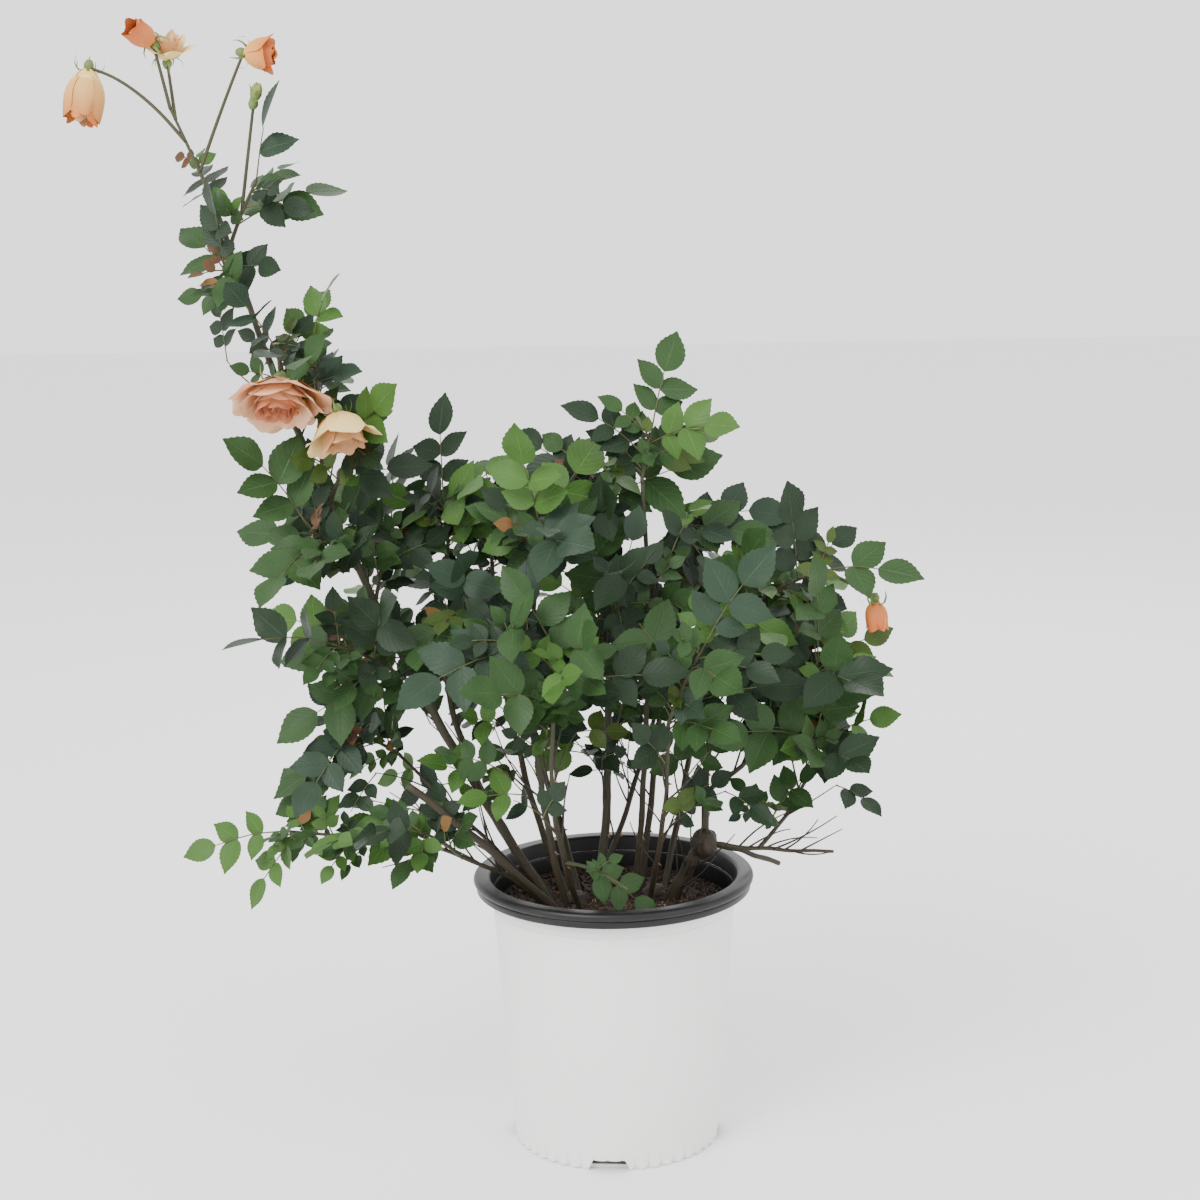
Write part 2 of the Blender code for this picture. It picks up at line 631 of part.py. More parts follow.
def grow_stalk(bloom, stem, luck, space, name):
    """A bloom's stalk from the stem to its neck, arched clear of what stands."""
    start = point_along(stem, min(bloom.at, 0.995))[0]
    centre = seen_at(bloom.across, bloom.up, bloom.deep)
    neck = centre - Vector(bloom.facing).normalized() * bloom.height * 0.5
    girth = taper(RACHIS_RADIUS * 1.3, RACHIS_RADIUS * 1.1, STALK_STEPS)
    for attempt in range(STEM_TRIES):
        arch = Vector((0, 0, bloom.arch)) + stray(luck) * 0.004 * attempt
        stalk = bowed_path(start, neck, arch, STALK_STEPS)
        if space.is_free(limb_room(stalk, girth), name):
            ball = ball_room(centre, bloom.width * 0.6)
            return stalk, [limb_room(stalk, girth), ball], [limb_room(stalk[1:], girth[1:]), ball]
    raise ValueError("no room for the stalk of a bloom")


def grow_all(space, canes_at):
    """Every mass as paths and leaflet frames: first all the stems and stalks, then the leaves."""
    lucks = {name: random.Random(mass.seed) for name, mass in MASSES.items()}
    stems = {}
    stalks = {}
    rooms = {}
    own = {name: [] for name in MASSES}
    for name, mass in MASSES.items():
        stems[name], whole = grow_stem(mass, canes_at, lucks[name], space)
        rooms[name] = [whole]
        space.add(name, rooms[name])
    for key, bloom in BLOOMS.items():
        name = bloom.mass
        stalks[key], whole, near = grow_stalk(bloom, stems[name], lucks[name], space, name)
        rooms[name] += whole
        own[name] += [search_tree([room]) for room in near]
        space.add(name, rooms[name])
    grown = {}
    for name, mass in MASSES.items():
        twigs, frames = grow_leaves(name, mass, stems[name], rooms[name], own[name], lucks[name], space)
        mine = {key: stalk for key, stalk in stalks.items() if BLOOMS[key].mass == name}
        grown[name] = (stems[name], twigs, frames, mine)
    return grown


def grow_leaves(name, mass, stem, rooms, own, luck, space):
    """The leaves of one mass, each turned until it has room."""
    twigs = []
    frames = []
    for place, step, across, open_angle in leaf_starts(mass, stem, luck):
        for attempt in range(LEAF_TRIES):
            out = turned_about(across, step, attempt * 0.9 * (1 if attempt % 2 else -1))
            along = step * math.cos(open_angle) + out * math.sin(open_angle) + Vector((0, 0, 0.12))
            pairs = 2 if luck.random() < 0.75 else 1
            size = mass.size * luck.uniform(0.88, 1.08)
            leaf = grow_leaf(place, along.normalized(), size, pairs, luck, space, name, own)
            if leaf:
                twigs.append(leaf[0])
                frames += leaf[1]
                rooms += leaf[2]
                own += [search_tree([room]) for room in leaf[3]]
                break
    space.add(name, rooms)
    return twigs, frames


def standing_space(canes_at):
    """The room that the pot, the mix, the crowns and the canes take, before anything grows."""
    space = Space()
    space.add("pot", [turned_room(profile_points(), 24)])
    space.add("potting_mix", [turned_room([(0.002, SOIL_TOP), (WALL_TOP_RADIUS, SOIL_TOP)], 24)])
    space.add("burl", [ball_room(BURL, BURL_RADIUS * 1.5)])
    for name, cane in CANES.items():
        path = canes_at[name]
        girth = taper(cane.thick / 2, cane.thin / 2, len(path) - 1)
        space.add(name, [limb_room(path, girth, 6)])
    return space


def bloom_solid(name, bloom, neck, home):
    """A bloom or bud: a round closed solid, broad across its mouth, on the end of its stalk."""
    bm = bmesh.new()
    bmesh.ops.create_uvsphere(bm, u_segments=8, v_segments=5, radius=0.5)
    for vert in bm.verts:
        rise = vert.co.z + 0.5
        swell = BLOOM_NECK + (1.0 - BLOOM_NECK) * min(1.0, rise / BLOOM_SHOULDER)
        vert.co = Vector((vert.co.x * bloom.width * swell, vert.co.y * bloom.width * swell,
                          rise * bloom.height - 0.003))
    bmesh.ops.recalc_face_normals(bm, faces=bm.faces)
    turn = Vector((0, 0, 1)).rotation_difference(Vector(bloom.facing)).to_matrix().to_4x4()
    bm.transform(Matrix.Translation(neck) @ turn)
    return mesh_object(name, bm, home)


def leaflet_solid(name, frame, home):
    """One leaflet in its place."""
    bm = bmesh.new()
    corners = [bm.verts.new(frame @ corner) for corner in LEAFLET_CORNERS]
    for face in LEAFLET_FACES:
        bm.faces.new([corners[k] for k in face])
    return mesh_object(name, bm, home)


def islands(bm):
    """The separate bodies of a mesh, as lists of faces."""
    seen = set()
    found = []
    for face in bm.faces:
        if face in seen:
            continue
        seen.add(face)
        body = [face]
        for member in body:
            for edge in member.edges:
                fresh = [other for other in edge.link_faces if other not in seen]
                seen.update(fresh)
                body += fresh
        found.append(body)
    return found


def keep_one_body(bm):
    """Drop loose scraps and the walls of sealed hollows: only the largest body stays."""
    bodies = islands(bm)
    largest = max(bodies, key=len)
    for body in bodies:
        if body is not largest:
            bmesh.ops.delete(bm, geom=body, context="FACES")
    return len(bodies) - 1


def build_mass(name, grown, host_cutter, home, profile, green):
    """Fuse a mass's stem, twigs, leaflets and blooms into one solid."""
    stem, twigs, leaflets, stalks = grown
    pieces = new_collection(name + "_pieces")
    girth = taper(STEM_RADIUS, RACHIS_RADIUS * 1.1, len(stem) - 1)
    body = tube(name + "_stem", stem, girth, home, profile)
    for i, path in enumerate(twigs):
        girth = taper(RACHIS_RADIUS * 1.05, RACHIS_RADIUS * 0.8, len(path) - 1)
        tube(f"{name}_twig_{i}", path, girth, pieces, profile)
    for key, stalk in stalks.items():
        girth = taper(RACHIS_RADIUS * 1.3, RACHIS_RADIUS * 1.1, len(stalk) - 1)
        tube(key + "_stalk", stalk, girth, pieces, profile)
        bloom_solid(key, BLOOMS[key], stalk[-1], pieces)
    for i, frame in enumerate(leaflets):
        leaflet_solid(f"{name}_leaflet_{i}", frame, pieces)
    union = body.modifiers.new("join", "BOOLEAN")
    union.operation = "UNION"
    union.solver = "MANIFOLD"
    union.operand_type = "COLLECTION"
    union.collection = pieces
    if host_cutter:
        cut(body, host_cutter)
    bm = evaluated_bmesh(body, 1e-8)
    for piece in [body, *pieces.objects]:
        bpy.data.objects.remove(piece, do_unlink=True)
    bpy.data.collections.remove(pieces)
    bmesh.ops.dissolve_limit(bm, angle_limit=FLAT, verts=bm.verts, edges=bm.edges)
    bmesh.ops.triangulate(bm, faces=bm.faces)
    scraps = keep_one_body(bm)
    made = mesh_object(name, bm, home, green)
    print(name, "leaflets", len(leaflets), "triangles", len(made.data.polygons), "scraps", scraps)
    return made


def twig_section(home):
    """The three-sided section that twigs are drawn with, one millimetre in radius."""
    section = bpy.data.curves.new("twig_section", "CURVE")
    section.dimensions = "2D"
    spline = section.splines.new("POLY")
    spline.points.add(2)
    for k, point in enumerate(spline.points):
        turn = math.tau * k / 3
        point.co = (math.cos(turn) * 0.001, math.sin(turn) * 0.001, 0, 1)
    spline.use_cyclic_u = True
    drawn = as_cutter(bpy.data.objects.new("twig_section", section))
    home.objects.link(drawn)
    return drawn


def main():
    """Build the whole plant."""
    clear_scene()
    home = new_collection("potted_rose")
    cutters = new_collection("cutters")
    bark = finish("cane_bark", COLOURS["cane"], 0.7)
    green = finish("rose_leaf", COLOURS["leaf"], 0.5)
    build_pot(home, cutters)
    build_soil(home)
    fat = build_canes(home, cutters, bark)
    canes_at = {name: cane_path(cane) for name, cane in CANES.items()}
    section = twig_section(cutters)
    for name, grown in grow_all(standing_space(canes_at), canes_at).items():
        host_cutter = fat[MASSES[name].host] if MASSES[name].at < 1.0 else None
        build_mass(name, grown, host_cutter, home, section, green)


main()
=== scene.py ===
# %% [markdown]
# # A honey apricot rose in a nursery pot
#
# A shrub rose stands in a white nursery pot with a black lip.  Thin canes rise from two crowns in
# the potting mix and branch into loose masses of leaflets, with a few blooms, buds and faded heads,
# and one long cane arches far out to the upper left.
#
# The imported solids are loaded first.  They hold each piece's true place and reach.  What shows is
# grown over them here: the same canes, stems and leaflets by the same rule, then finer ones.

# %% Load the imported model
import json
import math
import random
from collections import namedtuple

import bmesh
import bpy
import numpy as np
from mathutils import Matrix, Vector, noise
from mathutils.bvhtree import BVHTree

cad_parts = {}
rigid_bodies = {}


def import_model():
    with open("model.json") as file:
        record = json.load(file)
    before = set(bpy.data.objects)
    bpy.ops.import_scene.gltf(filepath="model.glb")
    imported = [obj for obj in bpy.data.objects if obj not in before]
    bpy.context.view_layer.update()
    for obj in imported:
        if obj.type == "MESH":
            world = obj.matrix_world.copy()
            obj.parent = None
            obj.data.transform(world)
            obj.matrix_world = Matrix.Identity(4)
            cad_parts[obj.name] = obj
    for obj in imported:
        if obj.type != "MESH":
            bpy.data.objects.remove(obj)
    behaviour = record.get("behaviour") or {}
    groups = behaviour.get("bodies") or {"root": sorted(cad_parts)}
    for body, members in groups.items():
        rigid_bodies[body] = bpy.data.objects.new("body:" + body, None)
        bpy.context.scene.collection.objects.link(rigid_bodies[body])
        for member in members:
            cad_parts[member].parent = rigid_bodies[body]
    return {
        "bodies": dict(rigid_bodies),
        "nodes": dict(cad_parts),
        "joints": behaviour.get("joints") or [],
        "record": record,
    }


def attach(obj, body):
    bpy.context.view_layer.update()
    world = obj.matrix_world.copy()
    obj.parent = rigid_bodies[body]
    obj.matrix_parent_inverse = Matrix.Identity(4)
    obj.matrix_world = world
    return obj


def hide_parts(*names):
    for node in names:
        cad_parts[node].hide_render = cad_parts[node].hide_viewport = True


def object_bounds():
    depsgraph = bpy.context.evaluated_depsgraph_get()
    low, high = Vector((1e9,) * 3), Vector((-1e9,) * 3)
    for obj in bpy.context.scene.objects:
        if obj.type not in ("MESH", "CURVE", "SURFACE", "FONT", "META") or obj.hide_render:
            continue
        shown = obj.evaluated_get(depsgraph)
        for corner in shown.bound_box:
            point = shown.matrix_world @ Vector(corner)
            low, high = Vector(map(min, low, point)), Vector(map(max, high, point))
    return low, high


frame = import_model()
print(len(frame["nodes"]), "solids")
cad_low, cad_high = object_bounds()
print("solids reach from", [round(v, 3) for v in cad_low], "to", [round(v, 3) for v in cad_high])

# %% [markdown]
# ## The plan of the plant
#
# Every cane and mass is laid out on the plant's front view, as a gardener would sketch it: how far
# across and how high its tip shows, and how deep it stands behind the pot's axis.  These are the
# same named values that the solids were built from, so the leaves here land on the solids' leaves.

# %% Sizes of the pot and the places of the crowns
GAP = 0.00035                 # air kept between pieces that touch
MILLIMETRE = 0.001

# Pot
POT_HEIGHT = 0.242
RIM_RADIUS = 0.123
LIP_DROP = 0.0136             # height of the rolled lip
LIP_THICK = 0.0022
WALL_TOP_RADIUS = 0.1067
BASE_RADIUS = 0.0905
WALL = 0.0020
FLOOR = 0.0035

# Potting mix
SOIL_TOP = 0.215

# Crowns, where the canes leave the mix
LEFT_CROWN = Vector((-0.034, 0.000, SOIL_TOP))
RIGHT_CROWN = Vector((0.036, 0.018, SOIL_TOP))
CROWN_RADIUS = 0.011
FOOT_RING = 0.019             # the canes' feet stand round each crown at this radius
BURL = Vector((0.0800, -0.012, 0.2700))
BURL_RADIUS = 0.0115

print("the pot stands", POT_HEIGHT, "high and is", RIM_RADIUS * 2, "across its lip")

# %% Canes, masses and blooms
EYE = Vector((-0.008, -2.062, 0.885))   # the point that the front view is seen from

Cane = namedtuple("Cane", "host at across up deep bow thick thin")
Mass = namedtuple("Mass", "host at across up deep leaves size seed")
Bloom = namedtuple("Bloom", "mass at across up deep width height facing arch")


def seen_at(across, up, deep):
    """The point at a depth that shows at this place on the front view (the plane of the pot's axis)."""
    on_view = Vector((across, 0.0, up))
    share = (deep - EYE.y) / (0.0 - EYE.y)
    return EYE + (on_view - EYE) * share


# Each cane: what it grows from (a crown and the bearing of its foot, or a host and how far along
# it), where its tip shows, its depth, how far it bows at the middle, and its thickness in
# millimetres at the foot and tip.
CANES = {
    "tall_cane": Cane("left", 180, -0.318, 0.808, -0.018, (-0.027, 0, 0.004), 9.0, 4.4),
    "left_cane": Cane("left", 150, -0.138, 0.530, 0.020, (-0.040, 0.010, 0), 7.5, 4.0),
    "left_inner_cane": Cane("left", 105, -0.100, 0.520, 0.050, (-0.016, 0.010, 0), 6.5, 3.6),
    "left_front_cane": Cane("left", 255, -0.062, 0.510, -0.050, (-0.014, -0.010, 0), 6.5, 3.6),
    "middle_cane": Cane("left", 15, -0.012, 0.530, 0.010, (0.012, 0.010, 0), 8.8, 4.6),
    "low_left_cane": Cane("left", 200, -0.205, 0.273, -0.040, (0.004, 0, 0.015), 4.6, 2.8),
    "cut_stub": Cane("left", 228, -0.178, 0.322, -0.060, (0, 0, 0.004), 7.2, 6.2),
    "left_thin_cane": Cane("left", 165, -0.183, 0.348, 0.020, (0.004, 0, -0.004), 4.4, 2.8),
    "front_cane": Cane("left", 290, -0.050, 0.380, -0.100, (-0.010, -0.015, 0), 5.6, 3.2),
    "back_left_cane": Cane("left", 75, -0.100, 0.450, 0.140, (0.004, 0.020, 0), 6.4, 3.4),
    "crossing_cane": Cane("left", 45, 0.048, 0.420, 0.110, (0.006, 0.010, 0), 5.8, 3.2),
    "right_trunk": Cane("right", -55, 0.0765, 0.2640, -0.012, (0.002, 0, 0.003), 12.5, 11.0),
    "spike_cane": Cane("right", 195, 0.030, 0.585, -0.015, (0.008, 0, 0), 6.0, 3.4),
    "right_inner_cane": Cane("right", 130, 0.056, 0.545, 0.035, (0.003, 0.010, 0), 6.4, 3.6),
    "right_back_cane": Cane("right", 65, 0.085, 0.460, 0.140, (0.004, 0.015, 0), 6.4, 3.4),
    "right_front_cane": Cane("right", 250, 0.050, 0.370, -0.095, (0.004, -0.010, 0), 5.4, 3.2),
    "right_cane": Cane("burl", 0, 0.098, 0.455, -0.005, (-0.004, 0, 0), 7.4, 4.4),
    "right_branch": Cane("right_cane", 0.24, 0.165, 0.395, -0.040, (0.004, 0, -0.004), 4.6, 3.2),
    "bare_branch": Cane("burl", 0, 0.194, 0.256, -0.030, (0, 0, -0.002), 4.6, 2.6),
    "low_right_branch": Cane("bare_branch", 0.42, 0.176, 0.336, -0.040, (0.004, 0, -0.002), 3.8, 2.8),
    "dark_stub": Cane("burl", 0, 0.146, 0.246, 0.020, (0, 0, 0.002), 5.2, 4.4),
}

# Each mass of leaves: its cane and how far along it the stem leaves it (1 is the tip), where the
# stem's end shows, its depth, the number of leaves, the length of its largest leaflets, and the
# seed of its branching.
MASSES = {
    "top_bloom_spray": Mass("tall_cane", 1.00, -0.357, 0.905, -0.020, 1, 0.034, 3),
    "tall_right_leaves": Mass("tall_cane", 0.97, -0.288, 0.845, -0.025, 2, 0.050, 5),
    "tall_left_leaves": Mass("tall_cane", 0.88, -0.318, 0.775, -0.030, 3, 0.040, 2),
    "tall_shoot": Mass("tall_cane", 0.62, -0.246, 0.715, -0.045, 4, 0.042, 8),
    "open_bloom_spray": Mass("tall_cane", 0.72, -0.276, 0.702, -0.040, 3, 0.044, 1),
    "faded_bloom_spray": Mass("tall_cane", 0.60, -0.212, 0.632, -0.040, 3, 0.044, 4),
    "left_upper_leaves": Mass("tall_cane", 0.50, -0.255, 0.550, -0.035, 4, 0.050, 6),
    "left_inner_leaves": Mass("tall_cane", 0.46, -0.185, 0.555, 0.030, 4, 0.050, 7),
    "left_middle_leaves": Mass("tall_cane", 0.33, -0.240, 0.450, -0.040, 4, 0.050, 9),
    "left_back_leaves": Mass("tall_cane", 0.36, -0.205, 0.460, 0.080, 3, 0.050, 10),
    "left_low_leaves": Mass("left_thin_cane", 1.00, -0.235, 0.378, -0.020, 4, 0.046, 11),
    "low_left_spray": Mass("low_left_cane", 1.00, -0.288, 0.283, -0.045, 3, 0.042, 12),
    "low_left_leaves": Mass("low_left_cane", 0.55, -0.170, 0.280, -0.065, 2, 0.050, 13),
    "left_cane_leaves": Mass("left_cane", 1.00, -0.140, 0.570, 0.020, 4, 0.050, 14),
    "left_cane_low_leaves": Mass("left_cane", 0.70, -0.125, 0.480, -0.020, 3, 0.050, 15),
    "inner_cane_leaves": Mass("left_inner_cane", 1.00, -0.098, 0.580, 0.050, 3, 0.052, 16),
    "front_left_leaves": Mass("left_front_cane", 1.00, -0.058, 0.548, -0.060, 4, 0.052, 17),
    "front_left_low_leaves": Mass("left_front_cane", 0.66, -0.085, 0.450, -0.110, 4, 0.050, 18),
    "middle_leaves": Mass("middle_cane", 1.00, -0.010, 0.592, 0.010, 4, 0.052, 19),
    "middle_low_leaves": Mass("middle_cane", 0.62, 0.010, 0.490, -0.060, 4, 0.050, 20),
    "front_leaves": Mass("front_cane", 1.00, -0.035, 0.430, -0.130, 4, 0.050, 21),
    "back_left_leaves": Mass("back_left_cane", 1.00, -0.110, 0.520, 0.170, 4, 0.052, 22),
    "back_leaves": Mass("crossing_cane", 1.00, 0.020, 0.500, 0.140, 4, 0.052, 23),
    "spike_leaves": Mass("spike_cane", 1.00, 0.038, 0.628, -0.015, 4, 0.042, 24),
    "right_inner_leaves": Mass("right_inner_cane", 1.00, 0.060, 0.545, 0.035, 4, 0.050, 25),
    "right_back_leaves": Mass("right_back_cane", 1.00, 0.120, 0.462, 0.170, 4, 0.052, 26),
    "right_top_leaves": Mass("right_cane", 0.90, 0.125, 0.488, 0.010, 4, 0.054, 27),
    "bud_spray": Mass("right_cane", 1.00, 0.188, 0.508, -0.040, 4, 0.048, 28),
    "right_middle_leaves": Mass("right_branch", 1.00, 0.180, 0.430, -0.050, 4, 0.050, 29),
    "right_front_leaves": Mass("right_front_cane", 1.00, 0.080, 0.440, -0.125, 4, 0.050, 41),
    "right_low_leaves": Mass("low_right_branch", 1.00, 0.178, 0.362, -0.050, 4, 0.050, 31),
    "low_right_sprig": Mass("low_right_branch", 0.30, 0.128, 0.300, -0.050, 1, 0.032, 32),
    "rim_sprig": Mass("front_cane", 0.30, 0.012, 0.225, -0.128, 1, 0.032, 33),
}

# Each bloom or bud: its mass, how far along the stem its stalk leaves, where its middle shows, its
# depth, its width and height, the way its mouth faces, and how high its stalk arches over.
BLOOMS = {
    "top_bud": Bloom("top_bloom_spray", 1.00, -0.377, 0.965, -0.030, 0.019, 0.026,
                    (-0.5, -0.6, 0.5), 0.0),
    "spent_bloom": Bloom("top_bloom_spray", 0.90, -0.357, 0.955, -0.010, 0.020, 0.024,
                    (0.1, -0.3, 0.9), 0.0),
    "nodding_bloom": Bloom("top_bloom_spray", 0.72, -0.427, 0.918, -0.020, 0.028, 0.044,
                    (-0.15, -0.2, -0.95), 0.010),
    "right_bloom": Bloom("top_bloom_spray", 0.50, -0.281, 0.948, -0.025, 0.024, 0.028,
                    (0.95, -0.2, -0.1), 0.002),
    "round_bud": Bloom("tall_right_leaves", 0.45, -0.285, 0.918, -0.035, 0.013, 0.018,
                    (0.3, -0.2, 0.9), 0.0),
    "open_bloom": Bloom("open_bloom_spray", 1.00, -0.277, 0.656, -0.060, 0.075, 0.046,
                    (0.0, -0.56, -0.83), 0.004),
    "faded_bloom": Bloom("faded_bloom_spray", 1.00, -0.224, 0.630, -0.070, 0.044, 0.044,
                    (0.2, -0.4, -0.9), 0.006),
    "nodding_rosebud": Bloom("bud_spray", 0.97, 0.230, 0.466, -0.045, 0.020, 0.028,
                    (0.05, -0.2, -0.97), 0.002),
}

print(len(CANES), "canes,", len(MASSES), "masses,", len(BLOOMS), "blooms and buds")

# %% [markdown]
# ## Paths
#
# A cane is a bowed line that tapers.  Real canes also crook a little at each bud, so the paths that
# are drawn get a small zigzag that fades out at both ends, where they meet other pieces.


# %% Bowed paths
def bowed_path(start, end, bow, steps):
    """Points of a limb that bows by a given amount at its middle."""
    bend = (start + end) / 2 + Vector(bow) * 2
    path = []
    for i in range(steps + 1):
        t = i / steps
        path.append(start * (1 - t) ** 2 + bend * 2 * t * (1 - t) + end * t ** 2)
    return path


def taper(thick, thin, steps):
    """Radii that go evenly from one to the other."""
    return [thick + (thin - thick) * i / steps for i in range(steps + 1)]


def point_along(path, share):
    """The point a share of the way along a path, and the direction there."""
    reach = share * (len(path) - 1)
    low = min(int(reach), len(path) - 2)
    step = path[low + 1] - path[low]
    return path[low] + step * (reach - low), step.normalized()


middle = bowed_path(Vector((0, 0, 0)), Vector((1, 0, 0)), (0, 0, 0.1), 2)[1]
print("a line one metre long, bowed by 0.1, has its middle at", [round(v, 2) for v in middle])


# %% The middle line of each cane
FOOT_SUNK = Vector((0, 0, 0.008))   # how deep a cane's foot stands in the mix
CANE_STEP = 0.055             # about how far apart its points are, in metres


def cane_start(cane):
    """Where a cane's middle line starts, from its crown, the burl, or its host's middle line."""
    if cane.host in ("left", "right"):
        crown = LEFT_CROWN if cane.host == "left" else RIGHT_CROWN
        bearing = math.radians(cane.at)
        foot = crown + Vector((math.cos(bearing), math.sin(bearing), 0)) * FOOT_RING
        return foot - FOOT_SUNK
    if cane.host == "burl":
        return BURL.copy()
    return point_along(cane_path(CANES[cane.host]), cane.at)[0]


def cane_path(cane):
    """The middle line of a cane."""
    start = cane_start(cane)
    end = seen_at(cane.across, cane.up, cane.deep)
    steps = max(3, round((end - start).length / CANE_STEP))
    return bowed_path(start, end, cane.bow, steps)


canes_at = {name: cane_path(cane) for name, cane in CANES.items()}
print("longest cane has", max(len(path) for path in canes_at.values()), "points")

# %% [markdown]
# ## The growth rule
#
# A rose leaf is pinnate: a thin rachis with leaflets in pairs and one at its end.  Leaves leave
# their stem by the golden angle.  Before a twig or leaflet is kept, its room is tested against all
# that stands already with a search tree, so nothing pokes through its neighbour.  The solids were
# grown by this very rule and from the same seeds.

# %% A plain leaflet
LEAFLET_THICK = 0.026         # of its length
WIDEST = 0.42                 # where along it a leaflet is widest
LEAFLET_FOLD = 0.045          # how far its sides stand above its rib, of its length
LEAFLET_DROOP = 0.03          # how far its tip hangs, of its length


def taken_out(bm):
    """The corners and faces of a mesh being made, which is then let go."""
    corners = [vert.co.copy() for vert in bm.verts]
    faces = [[vert.index for vert in face.verts] for face in bm.faces]
    bm.free()
    return corners, faces


def leaflet_shape():
    """One leaflet of unit length and width along +X: a flat eight-faced solid, folded at its rib."""
    bm = bmesh.new()
    bmesh.ops.create_uvsphere(bm, u_segments=4, v_segments=2, radius=0.5)
    for vert in bm.verts:
        if abs(vert.co.z) > 0.1:
            vert.co = Vector((WIDEST, 0, math.copysign(LEAFLET_THICK / 2, vert.co.z)))
        elif abs(vert.co.y) > 0.1:
            vert.co = Vector((WIDEST, vert.co.y, LEAFLET_FOLD))
        else:
            vert.co = Vector((vert.co.x + 0.5, 0, -LEAFLET_DROOP if vert.co.x > 0 else 0))
    bmesh.ops.recalc_face_normals(bm, faces=bm.faces)
    return taken_out(bm)


LEAFLET_CORNERS, LEAFLET_FACES = leaflet_shape()
print(len(LEAFLET_FACES), "faces in a plain leaflet")

# %% Where a leaflet stands
LEAFLET_WIDTH = 0.72          # of its length
ROOM = 0.02                   # the room kept round a leaflet, of its length


def leaflet_frame(root, along, face, length):
    """The frame of a leaflet: its root, the way it points, the way it faces, and its size."""
    side = face.cross(along).normalized()
    normal = along.cross(side)
    frame = Matrix((along * length, side * length * LEAFLET_WIDTH, normal * length)).transposed()
    return Matrix.Translation(root) @ frame.to_4x4()


def leaflet_room(frame, past=0.0):
    """The corners and faces of the room that a leaflet needs, from a share past its root."""
    corners = []
    for x, y, z in LEAFLET_CORNERS:
        on_rib = x == WIDEST and y == 0
        corners.append(Vector((past + x * (1 + ROOM - past), y * (1 + ROOM),
                               z + math.copysign(ROOM, z) if on_rib else z)))
    return [frame @ corner for corner in corners], LEAFLET_FACES


upright = leaflet_frame(Vector((0, 0, 0)), Vector((0, 0, 1)), Vector((0, -1, 0)), 0.05)
print("the tip of an upright leaflet:", [round(v, 3) for v in upright @ Vector((1, 0, 0))])


# %% The room that limbs, blooms and the pot need
def on_circle(bearing, radius, height):
    """The point at a bearing and radius from the axis, at a height."""
    return Vector((math.cos(bearing) * radius, math.sin(bearing) * radius, height))


def spokes(side, other, sides):
    """Unit vectors round a ring, from two that stand square to each other."""
    turns = [math.tau * k / sides for k in range(sides)]
    return [side * math.cos(turn) + other * math.sin(turn) for turn in turns]


def limb_room(path, radii, sides=3):
    """The corners and faces of the room that a limb needs, as open prisms, radii in millimetres."""
    corners = []
    faces = []
    for a, b, thick, thin in zip(path, path[1:], radii, radii[1:]):
        step = (b - a).normalized()
        side = step.orthogonal().normalized()
        other = step.cross(side)
        first = len(corners)
        for place, radius in ((a, thick), (b, thin)):
            corners += [place + spoke * (radius * MILLIMETRE + GAP) for spoke in spokes(side, other, sides)]
        for k in range(sides):
            n = (k + 1) % sides
            faces.append([first + k, first + n, first + sides + n, first + sides + k])
    return corners, faces


def ball_room(centre, radius):
    """The corners and faces of the room that a bloom needs."""
    bm = bmesh.new()
    bmesh.ops.create_uvsphere(bm, u_segments=4, v_segments=2, radius=radius)
    corners, faces = taken_out(bm)
    return [centre + corner for corner in corners], faces


def turned_room(points, sides):
    """The corners and faces of a turned section, open at the axis."""
    corners = []
    faces = []
    for k in range(sides):
        turn = math.tau * k / sides
        corners += [on_circle(turn, r, z) for r, z in points]
    count = len(points)
    for k in range(sides):
        here, there = k * count, (k + 1) % sides * count
        faces += [[here + i, there + i, there + i + 1, here + i + 1] for i in range(count - 1)]
    return corners, faces


print("the corners of a bloom's room:", len(ball_room(BURL, BURL_RADIUS)[0]))


# %% What stands already
def search_tree(rooms):
    """One search tree of the faces of several rooms."""
    corners = []
    faces = []
    for room_corners, room_faces in rooms:
        first = len(corners)
        corners += room_corners
        faces += [[first + k for k in face] for face in room_faces]
    return BVHTree.FromPolygons(corners, faces)


def is_clear(room, trees):
    """Whether a room touches none of these search trees."""
    tree = search_tree([room])
    return not any(tree.overlap(other) for other in trees)


class Space:
    """What stands already, so that a twig or leaf that would touch it is left out."""

    def __init__(self):
        self.standing = {}

    def add(self, name, rooms):
        """Take note of a piece, by its name, in place of what stood for it before."""
        self.standing[name] = search_tree(rooms)

    def is_free(self, room, *but):
        """Whether a room is clear of all that stands but the named pieces."""
        return is_clear(room, [tree for name, tree in self.standing.items() if name not in but])


# %% Which way a leaf faces
FRONT_UNTIL = 0.07            # the depth up to which leaves face the front
TO_FRONT = Vector((0, -0.95, 0))   # what turns a leaf's face: the viewer,
TO_SKY = Vector((0, 0, 0.75))      # the light,
TO_OUTSIDE = 0.45                  # the outside of the shrub,
FACE_STRAY = 0.5                   # and chance


def turned_about(vector, axis, angle):
    """A vector turned about an axis."""
    return Matrix.Rotation(angle, 3, axis) @ vector


def stray(luck):
    """A random vector, each part from -1 to 1."""
    return Vector([luck.uniform(-1, 1) for _ in range(3)])


def leaf_face(place, luck):
    """The way a leaf faces: up to the light, outwards, and mostly to the front on the front half."""
    out = Vector((place.x, place.y, 0)).normalized()
    front = TO_FRONT if place.y < FRONT_UNTIL else Vector((0, 0, 0))
    return (TO_SKY + out * TO_OUTSIDE + front + stray(luck) * FACE_STRAY).normalized()


print("a leaf in front faces", [round(v, 1) for v in leaf_face(Vector((0, -0.1, 0.5)), random.Random(1))])

